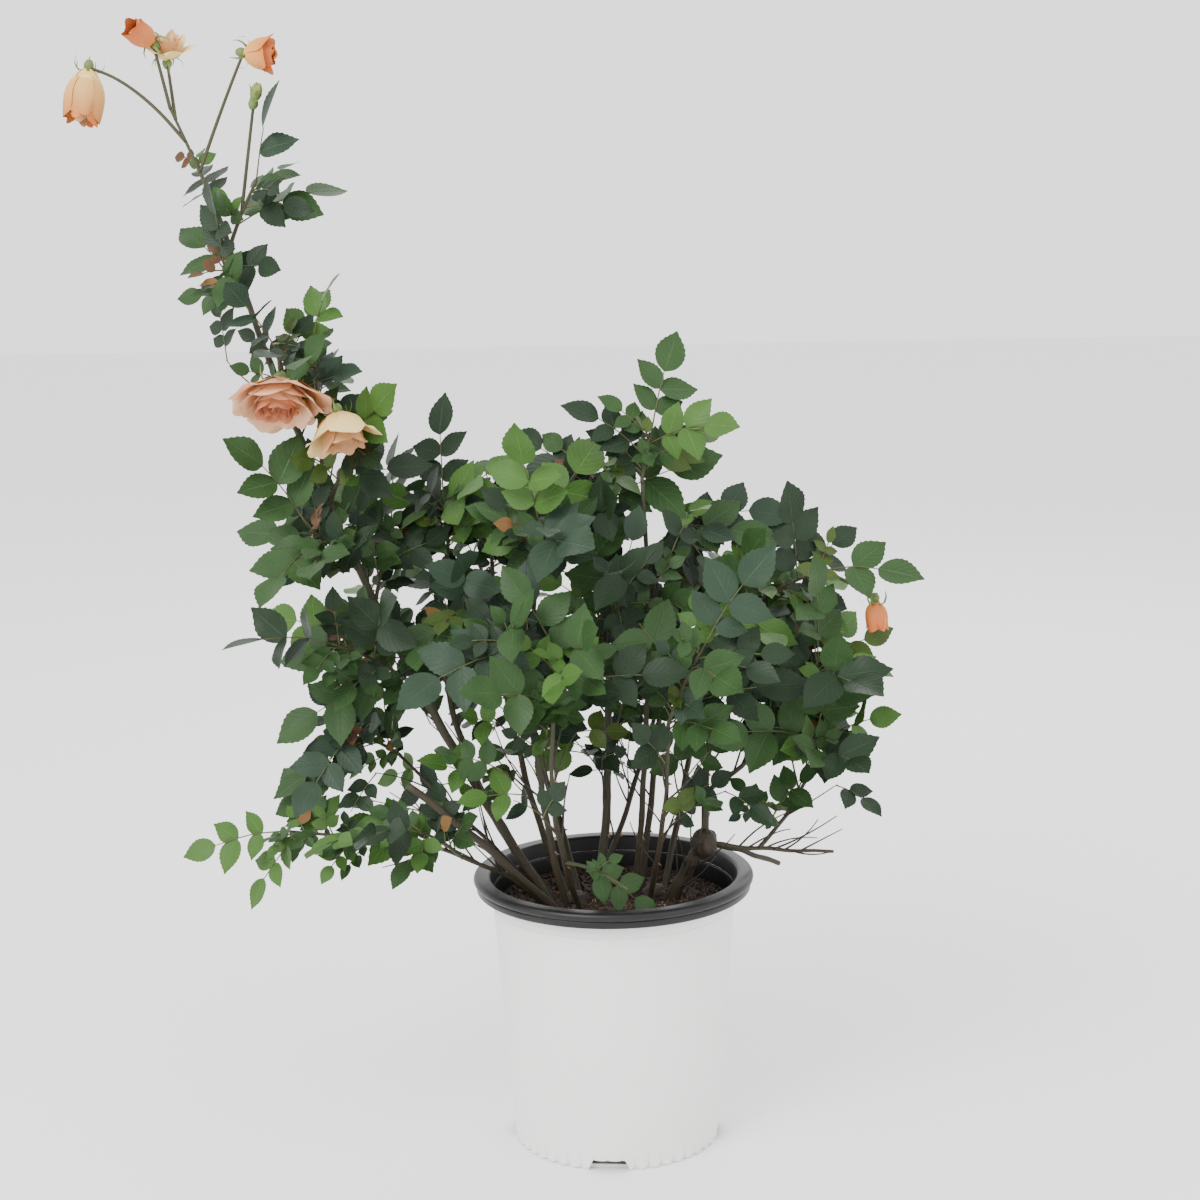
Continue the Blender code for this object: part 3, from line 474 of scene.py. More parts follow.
# %% Growing one leaf
RACHIS_RADIUS = 0.95          # in millimetres
RACHIS_FOOT = 0.48            # a rachis up to its first pair, in leaflet lengths
RACHIS_PAIR = 0.50            # and what each pair adds
RACHIS_SAG = 0.10
LEAF_STEPS = 2
LEAFLET_ROOT = 0.10           # the share of a leaflet that may touch its own twig
LEAFLET_SIZES = (0.9, 1.06)   # of the size that its leaf was given
PAIR_SMALLER = 0.10           # how much smaller the leaflets of each further pair are
PAIR_SWING = math.radians(60)     # how far paired leaflets swing out
LEAFLET_HANG = Vector((0, 0, -0.10))
LEAFLET_TRIES = 5
LEAN_STRAY = (0.2, 0.25)      # how far its face strays, and what each further try adds
SWAY_STRAY = 0.16             # radians that its heading strays to each side
SWAY_MORE = 0.6               # the share of that which each further try adds


def grow_leaf(start, along, size, pairs, luck, space, name, own):
    """One leaf: a rachis with leaflets in pairs and one at its end.  None if there is no room."""
    reach = size * (RACHIS_FOOT + RACHIS_PAIR * pairs)
    sag = Vector((0, 0, -reach * RACHIS_SAG))
    path = bowed_path(start, start + along * reach + sag, -sag * 0.5, LEAF_STEPS)
    girth = taper(RACHIS_RADIUS * 1.05, RACHIS_RADIUS * 0.8, LEAF_STEPS)
    whole = limb_room(path, girth)
    onward = limb_room([path[0].lerp(path[1], 0.4)] + path[1:], girth)
    if not space.is_free(whole, name) or not is_clear(onward, own):
        return None
    face = leaf_face(start + along * reach, luck)
    frames = []
    rooms = [whole]
    near = [onward]
    for k in range(pairs * 2 + 1):
        pair = (k + 1) // 2
        share = 1.0 - pair * RACHIS_PAIR / (RACHIS_FOOT + RACHIS_PAIR * pairs) + (0.03 if k % 2 else 0.0)
        place, step = point_along(path, min(share, 0.995))
        length = size * (1.0 - PAIR_SMALLER * pair) * luck.uniform(*LEAFLET_SIZES)
        side = face.cross(step).normalized()
        swing = 0.0 if k == 0 else PAIR_SWING * (1 if k % 2 else -1)
        for attempt in range(LEAFLET_TRIES):
            lean = face + stray(luck) * (LEAN_STRAY[0] + LEAN_STRAY[1] * attempt)
            sway = swing + luck.uniform(-SWAY_STRAY, SWAY_STRAY) * (1 + attempt * SWAY_MORE)
            heading = step * math.cos(sway) + side * math.sin(sway) + LEAFLET_HANG
            heading.normalize()
            frame = leaflet_frame(place - heading * RACHIS_RADIUS * 0.0004, heading, lean, length)
            past_root = leaflet_room(frame, LEAFLET_ROOT)
            mine = [search_tree([other]) for other in near[1:]]
            if space.is_free(leaflet_room(frame), name) and is_clear(past_root, [*own, *mine]):
                frames.append(frame)
                rooms.append(leaflet_room(frame))
                near.append(past_root)
                break
    return (path, frames, rooms, near) if len(frames) > 1 else None


# %% Where leaves leave a stem
GOLDEN_TURN = math.radians(137.5)
FIRST_LEAF = 0.30             # the share of a stem that is bare at its foot
OPEN_ANGLE = math.radians(62)     # between a leaf and its stem
TIP_ANGLE = math.radians(18)      # for the last leaf


def leaf_starts(mass, stem, luck):
    """Where leaves leave a stem and the way each points, turning by the golden angle."""
    turn = luck.uniform(0, math.tau)
    for k in range(mass.leaves):
        share = FIRST_LEAF + (1 - FIRST_LEAF) * k / max(1, mass.leaves - 1)
        place, step = point_along(stem, min(share, 0.995))
        across = turned_about(step.orthogonal().normalized(), step, turn + k * GOLDEN_TURN)
        yield place, step, across, OPEN_ANGLE if share < 0.9 else TIP_ANGLE


# %% The pot as an obstacle
def profile_points():
    """The pot's section, from the middle of its floor up inside, over the lip and down outside."""
    rim = RIM_RADIUS
    top = POT_HEIGHT
    shelf = top - LIP_DROP * 0.62
    return [
        (0.0, FLOOR),
        (BASE_RADIUS - WALL, FLOOR),
        (WALL_TOP_RADIUS - WALL, shelf - 0.004),
        (rim - 0.0095, shelf + 0.001),
        (rim - 0.0055, top),
        (rim - 0.0012, top - 0.0007),
        (rim, top - 0.0040),
        (rim - 0.0024, top - LIP_DROP * 0.58),
        (rim - 0.0026, top - LIP_DROP),
        (rim - 0.0026 - LIP_THICK, top - LIP_DROP),
        (rim - 0.0046 - LIP_THICK, shelf - 0.0028),
        (WALL_TOP_RADIUS, shelf - 0.0048),
        (BASE_RADIUS, 0.0),
        (0.0, 0.0),
    ]


print(len(profile_points()), "points in the pot's section")

# %% Stems and stalks
STEM_RADIUS = 1.7             # in millimetres
STEM_STEPS = 4
STALK_STEPS = 4
STEM_TRIES = 14
COLLAR = 0.005                # how far a stem goes straight on from its cane's tip
STEM_BOW = 0.06               # how far a stem bows, of its length, from a tip
SIDE_BOW = 0.05               # and out of a cane's side
STEM_STRAY = 0.006            # how far it strays at each further try, in metres
STALK_STRAY = 0.004


def grow_stem(mass, canes_at, luck, space):
    """The stem of a mass, on from its cane's tip or out of its side, bowed clear of what stands."""
    host = canes_at[mass.host]
    end = seen_at(mass.across, mass.up, mass.deep)
    for attempt in range(STEM_TRIES):
        if mass.at >= 1.0:
            tip, step = point_along(host, 1.0)
            start = tip + step * (GAP * 1.2)
            collar = start + step * COLLAR
            bow = step * (end - collar).length * STEM_BOW + stray(luck) * STEM_STRAY * attempt
            stem = [start] + bowed_path(collar, end, bow, STEM_STEPS)
        else:
            start = point_along(host, mass.at)[0]
            bow = Vector((0, 0, (end - start).length * SIDE_BOW)) + stray(luck) * STEM_STRAY * attempt
            stem = bowed_path(start, end, bow, STEM_STEPS)
        girth = taper(STEM_RADIUS, RACHIS_RADIUS * 1.1, len(stem) - 1)
        whole = limb_room(stem, girth)
        if space.is_free(whole, mass.host) and space.is_free(limb_room(stem[1:], girth[1:])):
            return stem, whole
    raise ValueError("no room for the stem of a mass on " + mass.host)


def grow_stalk(bloom, stem, luck, space, name):
    """A bloom's stalk from the stem to its neck, arched clear of what stands."""
    start = point_along(stem, min(bloom.at, 0.995))[0]
    centre = seen_at(bloom.across, bloom.up, bloom.deep)
    neck = centre - Vector(bloom.facing).normalized() * bloom.height * 0.5
    girth = taper(RACHIS_RADIUS * 1.3, RACHIS_RADIUS * 1.1, STALK_STEPS)
    for attempt in range(STEM_TRIES):
        arch = Vector((0, 0, bloom.arch)) + stray(luck) * STALK_STRAY * attempt
        stalk = bowed_path(start, neck, arch, STALK_STEPS)
        if space.is_free(limb_room(stalk, girth), name):
            ball = ball_room(centre, bloom.width * 0.6)
            return stalk, [limb_room(stalk, girth), ball], [limb_room(stalk[1:], girth[1:]), ball]
    raise ValueError("no room for the stalk of a bloom")


# %% The leaves of a mass
# What has grown of a mass: its stem, its stalks by bloom, the rachises and leaflet frames of its
# leaves, the rooms that others keep clear of, and the search trees that its own leaves do.
Grown = namedtuple("Grown", "stem stalks twigs leaves rooms own")
# How leaves stand: their angle to the stem, their lift, their size and its range, and the share
# of them that has two pairs.
Habit = namedtuple("Habit", "angle lift size sizes five")
LEAF_TRIES = 7
TURN_AWAY = 0.9               # radians that a leaf turns at each further try
LEAF_LIFT = 0.12
FIVE_LEAFLETS = 0.75          # the share of leaves with two pairs
LEAF_SIZES = (0.88, 1.08)     # of the mass's own size


def add_leaf(name, grown, start, habit, luck, space):
    """Turn a leaf about the stem until it has room, and keep it."""
    place, step, across = start
    for attempt in range(LEAF_TRIES):
        out = turned_about(across, step, attempt * TURN_AWAY * (1 if attempt % 2 else -1))
        along = step * math.cos(habit.angle) + out * math.sin(habit.angle) + Vector((0, 0, habit.lift))
        pairs = 2 if luck.random() < habit.five else 1
        size = habit.size * luck.uniform(*habit.sizes)
        leaf = grow_leaf(place, along.normalized(), size, pairs, luck, space, name, grown.own)
        if leaf:
            grown.twigs.append(leaf[0])
            grown.leaves.append(leaf[1])
            grown.rooms.extend(leaf[2])
            grown.own.extend([search_tree([room]) for room in leaf[3]])
            return


def grow_leaves(name, grown, luck, space):
    """The leaves of one mass."""
    mass = MASSES[name]
    for place, step, across, angle in leaf_starts(mass, grown.stem, luck):
        habit = Habit(angle, LEAF_LIFT, mass.size, LEAF_SIZES, FIVE_LEAFLETS)
        add_leaf(name, grown, (place, step, across), habit, luck, space)
    space.add(name, grown.rooms)


# %% Growing all the masses
def grow_all(space, canes_at):
    """Every mass as paths and leaflet frames: first all the stems and stalks, then the leaves."""
    lucks = {name: random.Random(mass.seed) for name, mass in MASSES.items()}
    stems = {}
    stalks = {}
    rooms = {}
    own = {name: [] for name in MASSES}
    for name, mass in MASSES.items():
        stems[name], whole = grow_stem(mass, canes_at, lucks[name], space)
        rooms[name] = [whole]
        space.add(name, rooms[name])
    for key, bloom in BLOOMS.items():
        name = bloom.mass
        stalks[key], whole, near = grow_stalk(bloom, stems[name], lucks[name], space, name)
        rooms[name] += whole
        own[name] += [search_tree([room]) for room in near]
        space.add(name, rooms[name])
    grown = {}
    for name in MASSES:
        mine = {key: stalk for key, stalk in stalks.items() if BLOOMS[key].mass == name}
        grown[name] = Grown(stems[name], mine, [], [], rooms[name], own[name])
        grow_leaves(name, grown[name], lucks[name], space)
    return grown


def count_leaflets():
    """How many leaflets the masses have now."""
    return sum(len(frames) for grown in plant.values() for frames in grown.leaves)


def standing_space(canes_at):
    """The room that the pot, the mix, the crowns and the canes take, before anything grows."""
    space = Space()
    space.add("pot", [turned_room(profile_points(), 24)])
    space.add("potting_mix", [turned_room([(0.002, SOIL_TOP), (WALL_TOP_RADIUS, SOIL_TOP)], 24)])
    space.add("burl", [ball_room(BURL, BURL_RADIUS * 1.5)])
    for name, cane in CANES.items():
        path = canes_at[name]
        girth = taper(cane.thick / 2, cane.thin / 2, len(path) - 1)
        space.add(name, [limb_room(path, girth, 6)])
    return space


space = standing_space(canes_at)
plant = grow_all(space, canes_at)
as_on_solids = count_leaflets()
print(as_on_solids, "leaflets as on the solids")

# %% [markdown]
# ## Finer growth
#
# The solids carry fewer leaves than the plant has.  Each stem now gets more and smaller leaves in
# the places between, and each cane gets short twigs low down, where most old leaves have dropped
# and a few are left.  The same search trees keep them clear of everything that stands.

# %% More leaves on each stem
FineRound = namedtuple("FineRound", "size share many")
FINE_ROUNDS = (               # size and count, as shares of those of the mass's own leaves
    FineRound(0.74, 0.10, 1.0),
    FineRound(0.60, 0.05, 1.8),
    FineRound(0.46, 0.15, 2.0),
)
SPARSE = ("top_bloom_spray", "tall_left_leaves", "tall_right_leaves", "tall_shoot", "open_bloom_spray",
          "faded_bloom_spray", "spike_leaves", "rim_sprig")
SPARSE_SHARE = 0.5            # of the finer leaves that other masses get
LAST_SHARE = 0.98             # where on its stem the last fine leaf may stand
FINE_OPEN = math.radians(58)
FINE_LIFT = 0.10
FINE_SIZES = (0.80, 1.10)
FINE_FIVE = 0.5               # the share of them with two pairs


def grow_fine(name, grown, chosen, luck):
    """More, smaller leaves on the stem of a mass, wherever they have room."""
    mass = MASSES[name]
    habit = Habit(FINE_OPEN, FINE_LIFT, mass.size * chosen.size, FINE_SIZES, FINE_FIVE)
    wanted = round(mass.leaves * chosen.many * (SPARSE_SHARE if name in SPARSE else 1.0))
    turn = luck.uniform(0, math.tau)
    for k in range(wanted):
        share = chosen.share + (LAST_SHARE - chosen.share) * (k + 0.5) / wanted
        place, step = point_along(grown.stem, share)
        across = turned_about(step.orthogonal().normalized(), step, turn + k * GOLDEN_TURN)
        add_leaf(name, grown, (place, step, across), habit, luck, space)
    space.add(name, grown.rooms)


for chosen in FINE_ROUNDS:
    for name, grown in plant.items():
        grow_fine(name, grown, chosen, random.Random(f"{name} {chosen.size}"))
print(count_leaflets() - as_on_solids, "finer leaflets")

# %% Bare twigs
TWIGS_PER_CANE = 8
TWIG_REACH = (0.035, 0.095)   # how long a bare twig is, in metres
TWIG_PART = (0.25, 0.55)      # where on its cane the first twig stands, and over how much of it
TWIG_TRIES = 4
TWIG_LEAN = (0.5, 1.1)        # how far it leans away from its cane, and up
TWIG_LIFT = Vector((0, 0, 0.3))
TWIG_BOW = 0.06
TWIG_STEPS = 4
TWIG_GIRTH = (1.1, 0.5)       # millimetres of room at its foot and tip
RIM_CLEARANCE = 0.01          # metres


def grow_bare_twigs(name):
    """Short thin twigs off the lower part of a cane."""
    luck = random.Random(name)
    host = canes_at[name]
    found = {}
    for k in range(TWIGS_PER_CANE):
        share = TWIG_PART[0] + TWIG_PART[1] * (k + luck.random() * 0.6) / TWIGS_PER_CANE
        place, step = point_along(host, share)
        for attempt in range(TWIG_TRIES):
            across = turned_about(step.orthogonal().normalized(), step, luck.uniform(0, math.tau))
            along = (step + across * luck.uniform(*TWIG_LEAN) + TWIG_LIFT).normalized()
            reach = luck.uniform(*TWIG_REACH)
            end = place + along * reach
            path = bowed_path(place, end, stray(luck) * reach * TWIG_BOW, TWIG_STEPS)
            girth = taper(*TWIG_GIRTH, TWIG_STEPS)
            if space.is_free(limb_room(path, girth), name) and end.z > POT_HEIGHT + RIM_CLEARANCE:
                space.add(f"{name}_twig_{k}", [limb_room(path, girth)])
                found[f"{name}_twig_{k}"] = path
                break
    return found


bare_twigs = {}
for name in CANES:
    if "stub" not in name:
        bare_twigs.update(grow_bare_twigs(name))
print(len(bare_twigs), "bare twigs")

# %% Lone leaves on the bare twigs
LONE_LEAF_PLACES = (0.98, 0.62, 0.34)
LONE_LEAF_SIZE = (0.020, 0.036)
LONE_LEAF_LEAN = (0.6, 1.4)
LEAFY_FROM = 0.27             # twigs below this height have dropped their leaves,
LEAFY_BY = 0.43               # and all of those above this one keep them


def within_reach(place):
    """Whether a place is inside the box of the solids."""
    return all(low < value < high for low, value, high in zip(cad_low, place, cad_high))


def grow_lone_leaves(name, twig):
    """One to three small leaves on a twig low in the shrub, where most have dropped."""
    luck = random.Random(name)
    found = []
    if luck.random() > (twig[-1].z - LEAFY_FROM) / (LEAFY_BY - LEAFY_FROM):
        return found
    for share in LONE_LEAF_PLACES[:luck.choice((1, 1, 2, 3))]:
        place, step = point_along(twig, share)
        for attempt in range(LEAF_TRIES):
            across = turned_about(step.orthogonal().normalized(), step, luck.uniform(0, math.tau))
            along = (step + across * luck.uniform(*LONE_LEAF_LEAN)).normalized()
            size = luck.uniform(*LONE_LEAF_SIZE)
            leaf = grow_leaf(place, along, size, luck.choice((1, 1, 2)), luck, space, name, [])
            if leaf and all(within_reach(frame_matrix @ Vector((1, 0, 0))) for frame_matrix in leaf[1]):
                space.add(f"{name}_leaf_{share}", leaf[2])
                found.append(leaf)
                break
    return found


lone_leaves = [leaf for name, twig in bare_twigs.items() for leaf in grow_lone_leaves(name, twig)]
print(len(lone_leaves), "leaves on the bare twigs")

# %% [markdown]
# ## Finishes
#
# A finish is worked out with sums on sockets.  One small class wraps a socket, so that an
# expression such as `1 - mask * 0.4` adds the maths nodes by itself, and one method adds any other
# node.  Only what changes over a surface is linked, and all else is a plain value on the shader.


# %% A socket that can be used in sums
class Wire:
    """A socket of a node tree that takes part in expressions."""

    def __init__(self, paint, socket):
        self.paint = paint
        self.socket = socket

    def sum_with(self, operation, other, turned=False):
        """Add a maths node of this and another wire or number."""
        first, second = (other, self) if turned else (self, other)
        return self.paint.node("ShaderNodeMath", {"operation": operation}, {0: first, 1: second})

    def __add__(self, other):
        return self.sum_with("ADD", other)

    def __radd__(self, other):
        return self.sum_with("ADD", other, True)

    def __sub__(self, other):
        return self.sum_with("SUBTRACT", other)

    def __rsub__(self, other):
        return self.sum_with("SUBTRACT", other, True)

    def __mul__(self, other):
        return self.sum_with("MULTIPLY", other)

    def __rmul__(self, other):
        return self.sum_with("MULTIPLY", other, True)


# %% A finish being made
class Paint:
    """A material, its shader, and one method that adds any node to it."""

    def __init__(self, name, roughness=0.5, **values):
        self.material = bpy.data.materials.new(name)
        self.material.use_nodes = True
        self.tree = self.material.node_tree
        self.shader = self.tree.nodes["Principled BSDF"]
        self.shader.inputs["Roughness"].default_value = roughness
        for socket, value in values.items():
            self.shader.inputs[socket.replace("_", " ")].default_value = value

    def node(self, kind, settings, sockets, out=0):
        """Add a node: its settings first, then the values or wires of its sockets."""
        made = self.tree.nodes.new(kind)
        for key, value in settings.items():
            if key == "stops":
                self.set_stops(made.color_ramp, value)
            else:
                setattr(made, key, value)
        for key, value in sockets.items():
            self.feed(made.inputs[key], value)
        return Wire(self, made.outputs[out])

    def set_stops(self, ramp, stops):
        """Give a ramp its stops."""
        while len(ramp.elements) < len(stops):
            ramp.elements.new(0.5)
        for element, (place, colour) in zip(ramp.elements, stops):
            element.position = place
            element.color = (*colour, 1.0)

    def feed(self, socket, value):
        """Link a wire to a socket, or set its value."""
        if isinstance(value, Wire):
            self.tree.links.new(value.socket, socket)
        elif isinstance(value, tuple) and socket.type == "RGBA":
            socket.default_value = (*value, 1.0)
        else:
            socket.default_value = value

    def place(self, kind="Object"):
        """Where on the object, or on its UV map, a point is."""
        return self.node("ShaderNodeTexCoord", {}, {}, kind)

    def speckle(self, scale, detail=3.0):
        """Noise of a given scale, from 0 to 1."""
        sockets = {"Vector": self.place(), "Scale": scale, "Detail": detail}
        return self.node("ShaderNodeTexNoise", {}, sockets)

    def spread(self, value, low, high, start=0.0, end=1.0):
        """What goes from start to end while a value goes from low to high."""
        return self.node("ShaderNodeMapRange", {}, {0: value, 1: low, 2: high, 3: start, 4: end})

    def blend(self, amount, first, second):
        """A colour between two others."""
        return self.node("ShaderNodeMix", {"data_type": "RGBA"}, {0: amount, 6: first, 7: second}, 2)

    def ramp(self, amount, *stops):
        """A colour from a ramp."""
        return self.node("ShaderNodeValToRGB", {"stops": stops}, {0: amount})

    def along(self, axis, kind="UV"):
        """One part of the UV map or place: 0 for X, 1 for Y, 2 for Z."""
        return self.node("ShaderNodeSeparateXYZ", {}, {0: self.place(kind)}, axis)

    def relief(self, height, distance, strength=1.0):
        """Let a height show as bumps, its depth in metres."""
        sockets = {"Height": height, "Distance": distance, "Strength": strength}
        self.feed(self.shader.inputs["Normal"], self.node("ShaderNodeBump", {}, sockets))

    def colour(self, value):
        """What the surface's colour is."""
        self.feed(self.shader.inputs["Base Color"], value)
        return self


def tint(red, green, blue):
    """A colour given as a painter's 0 to 255 values, as the shader's linear light."""
    return tuple(round(((v / 255 + 0.055) / 1.055) ** 2.4, 4) for v in (red, green, blue))


# %% [markdown]
# ## Leaf finishes
#
# A rose leaf is semi-matt, a little paler along its midrib and side veins, and mottled.  The plant
# wears several greens at once, so each tone is its own plain finish, dealt out leaf by leaf.

# %% Leaf tones
LEAF_TONES = {
    "deep": (tint(19, 35, 20), tint(31, 50, 28)),
    "blue": (tint(29, 47, 34), tint(43, 62, 44)),
    "mid": (tint(31, 56, 25), tint(48, 75, 35)),
    "fresh": (tint(47, 82, 31), tint(70, 101, 42)),
    "olive": (tint(48, 66, 20), tint(64, 82, 30)),
    "young": (tint(64, 40, 24), tint(88, 60, 34)),
    "dry": (tint(92, 64, 34), tint(122, 90, 50)),
}
VEINS = 6.5                   # side veins on each half of a leaflet
RIB_WIDTH = 0.028             # of a leaflet's width
VEIN_SLANT = 0.75             # how far a side vein runs on while it crosses the blade
VEIN_FROM = 0.90              # the part of the wave that shows as a vein
VEIN_STRENGTH = 0.55
VEIN_SHOWS = 0.40
VEIN_PALER = 1.7              # times the leaf's own light tone
LEAF_MOTTLE = 38.0
LEAF_RELIEF = 0.0006          # metres


def leaf_paint(tone, dark, light):
    """A leaf's finish: mottled, with a pale midrib and side veins from the UV map."""
    paint = Paint("leaf_" + tone, roughness=0.48, Specular_IOR_Level=0.22)
    across = paint.along(0) - 0.5
    half = paint.node("ShaderNodeMath", {"operation": "ABSOLUTE"}, {0: across})
    rib = paint.spread(half, 0.0, RIB_WIDTH, 1.0, 0.0)
    wave = paint.node("ShaderNodeMath", {"operation": "SINE"},
                      {0: (paint.along(1) - half * VEIN_SLANT) * (VEINS * math.tau)})
    vein = paint.spread(wave, VEIN_FROM, 1.0, 0.0, VEIN_STRENGTH)
    mottle = paint.speckle(LEAF_MOTTLE)
    body = paint.blend(mottle, dark, light)
    pale = tuple(min(1.0, v * VEIN_PALER + 0.01) for v in light)
    paint.colour(paint.blend((rib + vein) * VEIN_SHOWS, body, pale))
    paint.relief(mottle * 0.4 - rib - vein, LEAF_RELIEF, 0.55)
    return paint.material


leaf_finish = {tone: leaf_paint(tone, *colours) for tone, colours in LEAF_TONES.items()}
print("leaf finishes:", ", ".join(leaf_finish))

# %% [markdown]
# ## Leaflets
#
# A leaflet is an egg-shaped blade with a saw edge, folded a little at its midrib, with a drooping
# tip.  One template of a few dozen faces serves for all of them: it is bent a little differently
# each time and set into the frame that the growth rule gave.

# %% One leaflet as a template
TEETH = 9                     # on each side
COLUMNS = np.array([-1.0, -0.5, 0.0, 0.5, 1.0])
BLADE_HALF = 0.46             # of the width of its room
BLADE_EGG = 0.78              # below 1, the blade is widest nearer its root
TOOTH_OUT = 1.025
TOOTH_IN = 0.965
TOOTH_FORWARD = 0.016


def leaflet_template():
    """Rows of points up the blade: how far along, how far out, and the faces between them."""
    along = []
    out = []
    for k in range(TEETH * 2 + 1):
        share = k / (TEETH * 2)
        half = BLADE_HALF * max(0.02, math.sin(math.pi * share ** BLADE_EGG)) ** (0.62 + 0.5 * share)
        tooth = TOOTH_OUT if k % 2 else TOOTH_IN
        along.append(share)
        out.append(half * tooth)
    faces = []
    for i in range(len(along) - 1):
        for j in range(len(COLUMNS) - 1):
            a = i * len(COLUMNS) + j
            faces.append((a, a + len(COLUMNS), a + 1 + len(COLUMNS), a + 1))
    return np.array(along), np.array(out), np.array(faces)


ROW_ALONG, ROW_OUT, BLADE_FACES = leaflet_template()
print(len(BLADE_FACES), "faces a leaflet")

# %% Bending the template into each leaflet
DRAWN_SIZE = (0.76, 0.98)     # of the room that each leaflet was given
FOLDS = (0.05, 0.20)          # how far a blade folds, droops and waves, of its length
DROOPS = (0.02, 0.12)
WAVES = (0.0, 0.020)
WAVES_ALONG = 11              # radians of wave from root to tip
BLADE_RISE = 0.012            # how far it stands above its frame, clear of the solid


def blade(frame_matrix, luck):
    """The points and UV map of one leaflet, bent by chance within a little."""
    fold = luck.uniform(*FOLDS)
    droop = luck.uniform(*DROOPS)
    wave = luck.uniform(*WAVES)
    phase = luck.uniform(0, math.tau)
    along = np.repeat(ROW_ALONG, len(COLUMNS))
    side = np.tile(COLUMNS, len(ROW_ALONG))
    out = np.repeat(ROW_OUT, len(COLUMNS)) * side
    teeth = np.repeat(np.arange(len(ROW_ALONG)) % 2, len(COLUMNS)) * (np.abs(side) == 1) * TOOTH_FORWARD
    rise = (fold * np.abs(out) * 0.8 - droop * along ** 2
            + wave * np.sin(along * WAVES_ALONG + phase) * np.abs(side) + BLADE_RISE)
    points = np.stack([along * 0.985 + teeth, out, rise], axis=1) * luck.uniform(*DRAWN_SIZE)
    placed = np.column_stack([points, np.ones_like(along)]) @ np.array(frame_matrix).T
    return placed[:, :3], np.stack([side * 0.5 + 0.5, along], axis=1)


# %% A piece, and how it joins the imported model
def add_object(name, data):
    """A new object of the scene."""
    made = bpy.data.objects.new(name, data)
    bpy.context.scene.collection.objects.link(made)
    return made


def make_piece(name, verts, faces, uvs, material, smooth=True):
    """A mesh object from arrays of points, faces and the UV place of each point."""
    mesh = bpy.data.meshes.new(name)
    mesh.from_pydata([tuple(vert) for vert in verts], [], [tuple(face) for face in faces])
    layer = mesh.uv_layers.new(name="UVMap")
    corners = np.empty(len(mesh.loops), dtype=np.int32)
    mesh.loops.foreach_get("vertex_index", corners)
    layer.data.foreach_set("uv", np.asarray(uvs, dtype=np.float32)[corners].ravel())
    mesh.materials.append(material)
    mesh.polygons.foreach_set("use_smooth", [smooth] * len(mesh.polygons))
    mesh.update()
    return add_object(name, mesh)


def set_on(piece, slot, *nodes):
    """Let a piece ride on the plant and stand for nodes; its slot is not used."""
    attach(piece, "root")
    if nodes:
        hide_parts(*nodes)


# %% Dealing out the greens
BRIGHT_LOW = ("low_left_spray", "low_left_leaves", "rim_sprig", "right_low_leaves", "front_leaves")
OLIVE_HIGH = ("bud_spray", "spike_leaves", "tall_left_leaves", "middle_leaves", "right_top_leaves")
DEAL_PLAIN = ("deep",) * 5 + ("blue",) * 2 + ("mid",) * 6 + ("fresh", "fresh", "olive")
DEAL_BRIGHT = ("fresh", "fresh", "mid", "mid", "mid", "deep")
DEAL_OLIVE = ("olive", "mid", "mid", "mid", "deep", "deep", "fresh")
SMALL_LEAFLET = 0.022         # metres: shorter ones may still be young and bronze
YOUNG_SHARE = 0.10            # of the small leaves
DRY_SHARE = 0.04              # of the small leaflets


def deal(name):
    """The greens that a mass's leaves are dealt from."""
    if name in BRIGHT_LOW:
        return DEAL_BRIGHT
    return DEAL_OLIVE if name in OLIVE_HIGH else DEAL_PLAIN


def dress_leaves():
    """Every leaflet of every mass, gathered by tone."""
    gathered = {tone: [] for tone in LEAF_TONES}
    for name, grown in plant.items():
        luck = random.Random(name)
        for frames in grown.leaves:
            tone = luck.choice(deal(name))
            small = frames[0].to_scale().x < SMALL_LEAFLET
            if small and luck.random() < YOUNG_SHARE:
                tone = "young"
            for frame_matrix in frames:
                own = "dry" if small and luck.random() < DRY_SHARE else tone
                gathered[own].append(blade(frame_matrix, luck))
    luck = random.Random("lone leaves")
    for leaf in lone_leaves:
        tone = luck.choice(DEAL_PLAIN)
        gathered[tone].extend(blade(frame_matrix, luck) for frame_matrix in leaf[1])
    return gathered


def make_leaves(tone, blades):
    """One piece of all the leaflets of a tone."""
    count = len(ROW_ALONG) * len(COLUMNS)
    points = np.concatenate([points for points, _ in blades])
    uvs = np.concatenate([uv for _, uv in blades])
    faces = np.concatenate([BLADE_FACES + i * count for i in range(len(blades))])
    return make_piece("leaves_" + tone, points, faces, uvs, leaf_finish[tone])


for tone, blades in dress_leaves().items():
    set_on(make_leaves(tone, blades), "rose_leaf", *(MASSES if tone == "mid" else ()))
    print(tone, len(blades), "leaflets")


# %% [markdown]
# ## Canes, stems and rachises
#
# All of these are round and taper, so one function sweeps rings along many paths and joins them.
# Canes are older wood: brown and ridged low down, greener higher up, with hooked prickles.


# %% Sweeping rings along paths
def smooth_path(path, parts):
    """A path through the same points, rounded between them."""
    found = []
    last = len(path) - 1
    for i in range(last):
        before, here = path[max(0, i - 1)], path[i]
        there, after = path[i + 1], path[min(last, i + 2)]
        for k in range(parts):
            t = k / parts
            found.append(0.5 * (here * 2 + (there - before) * t
                                + (before * 2 - here * 5 + there * 4 - after) * t ** 2
                                + (here * 3 - before - there * 3 + after) * t ** 3))
    return found + [path[-1]]


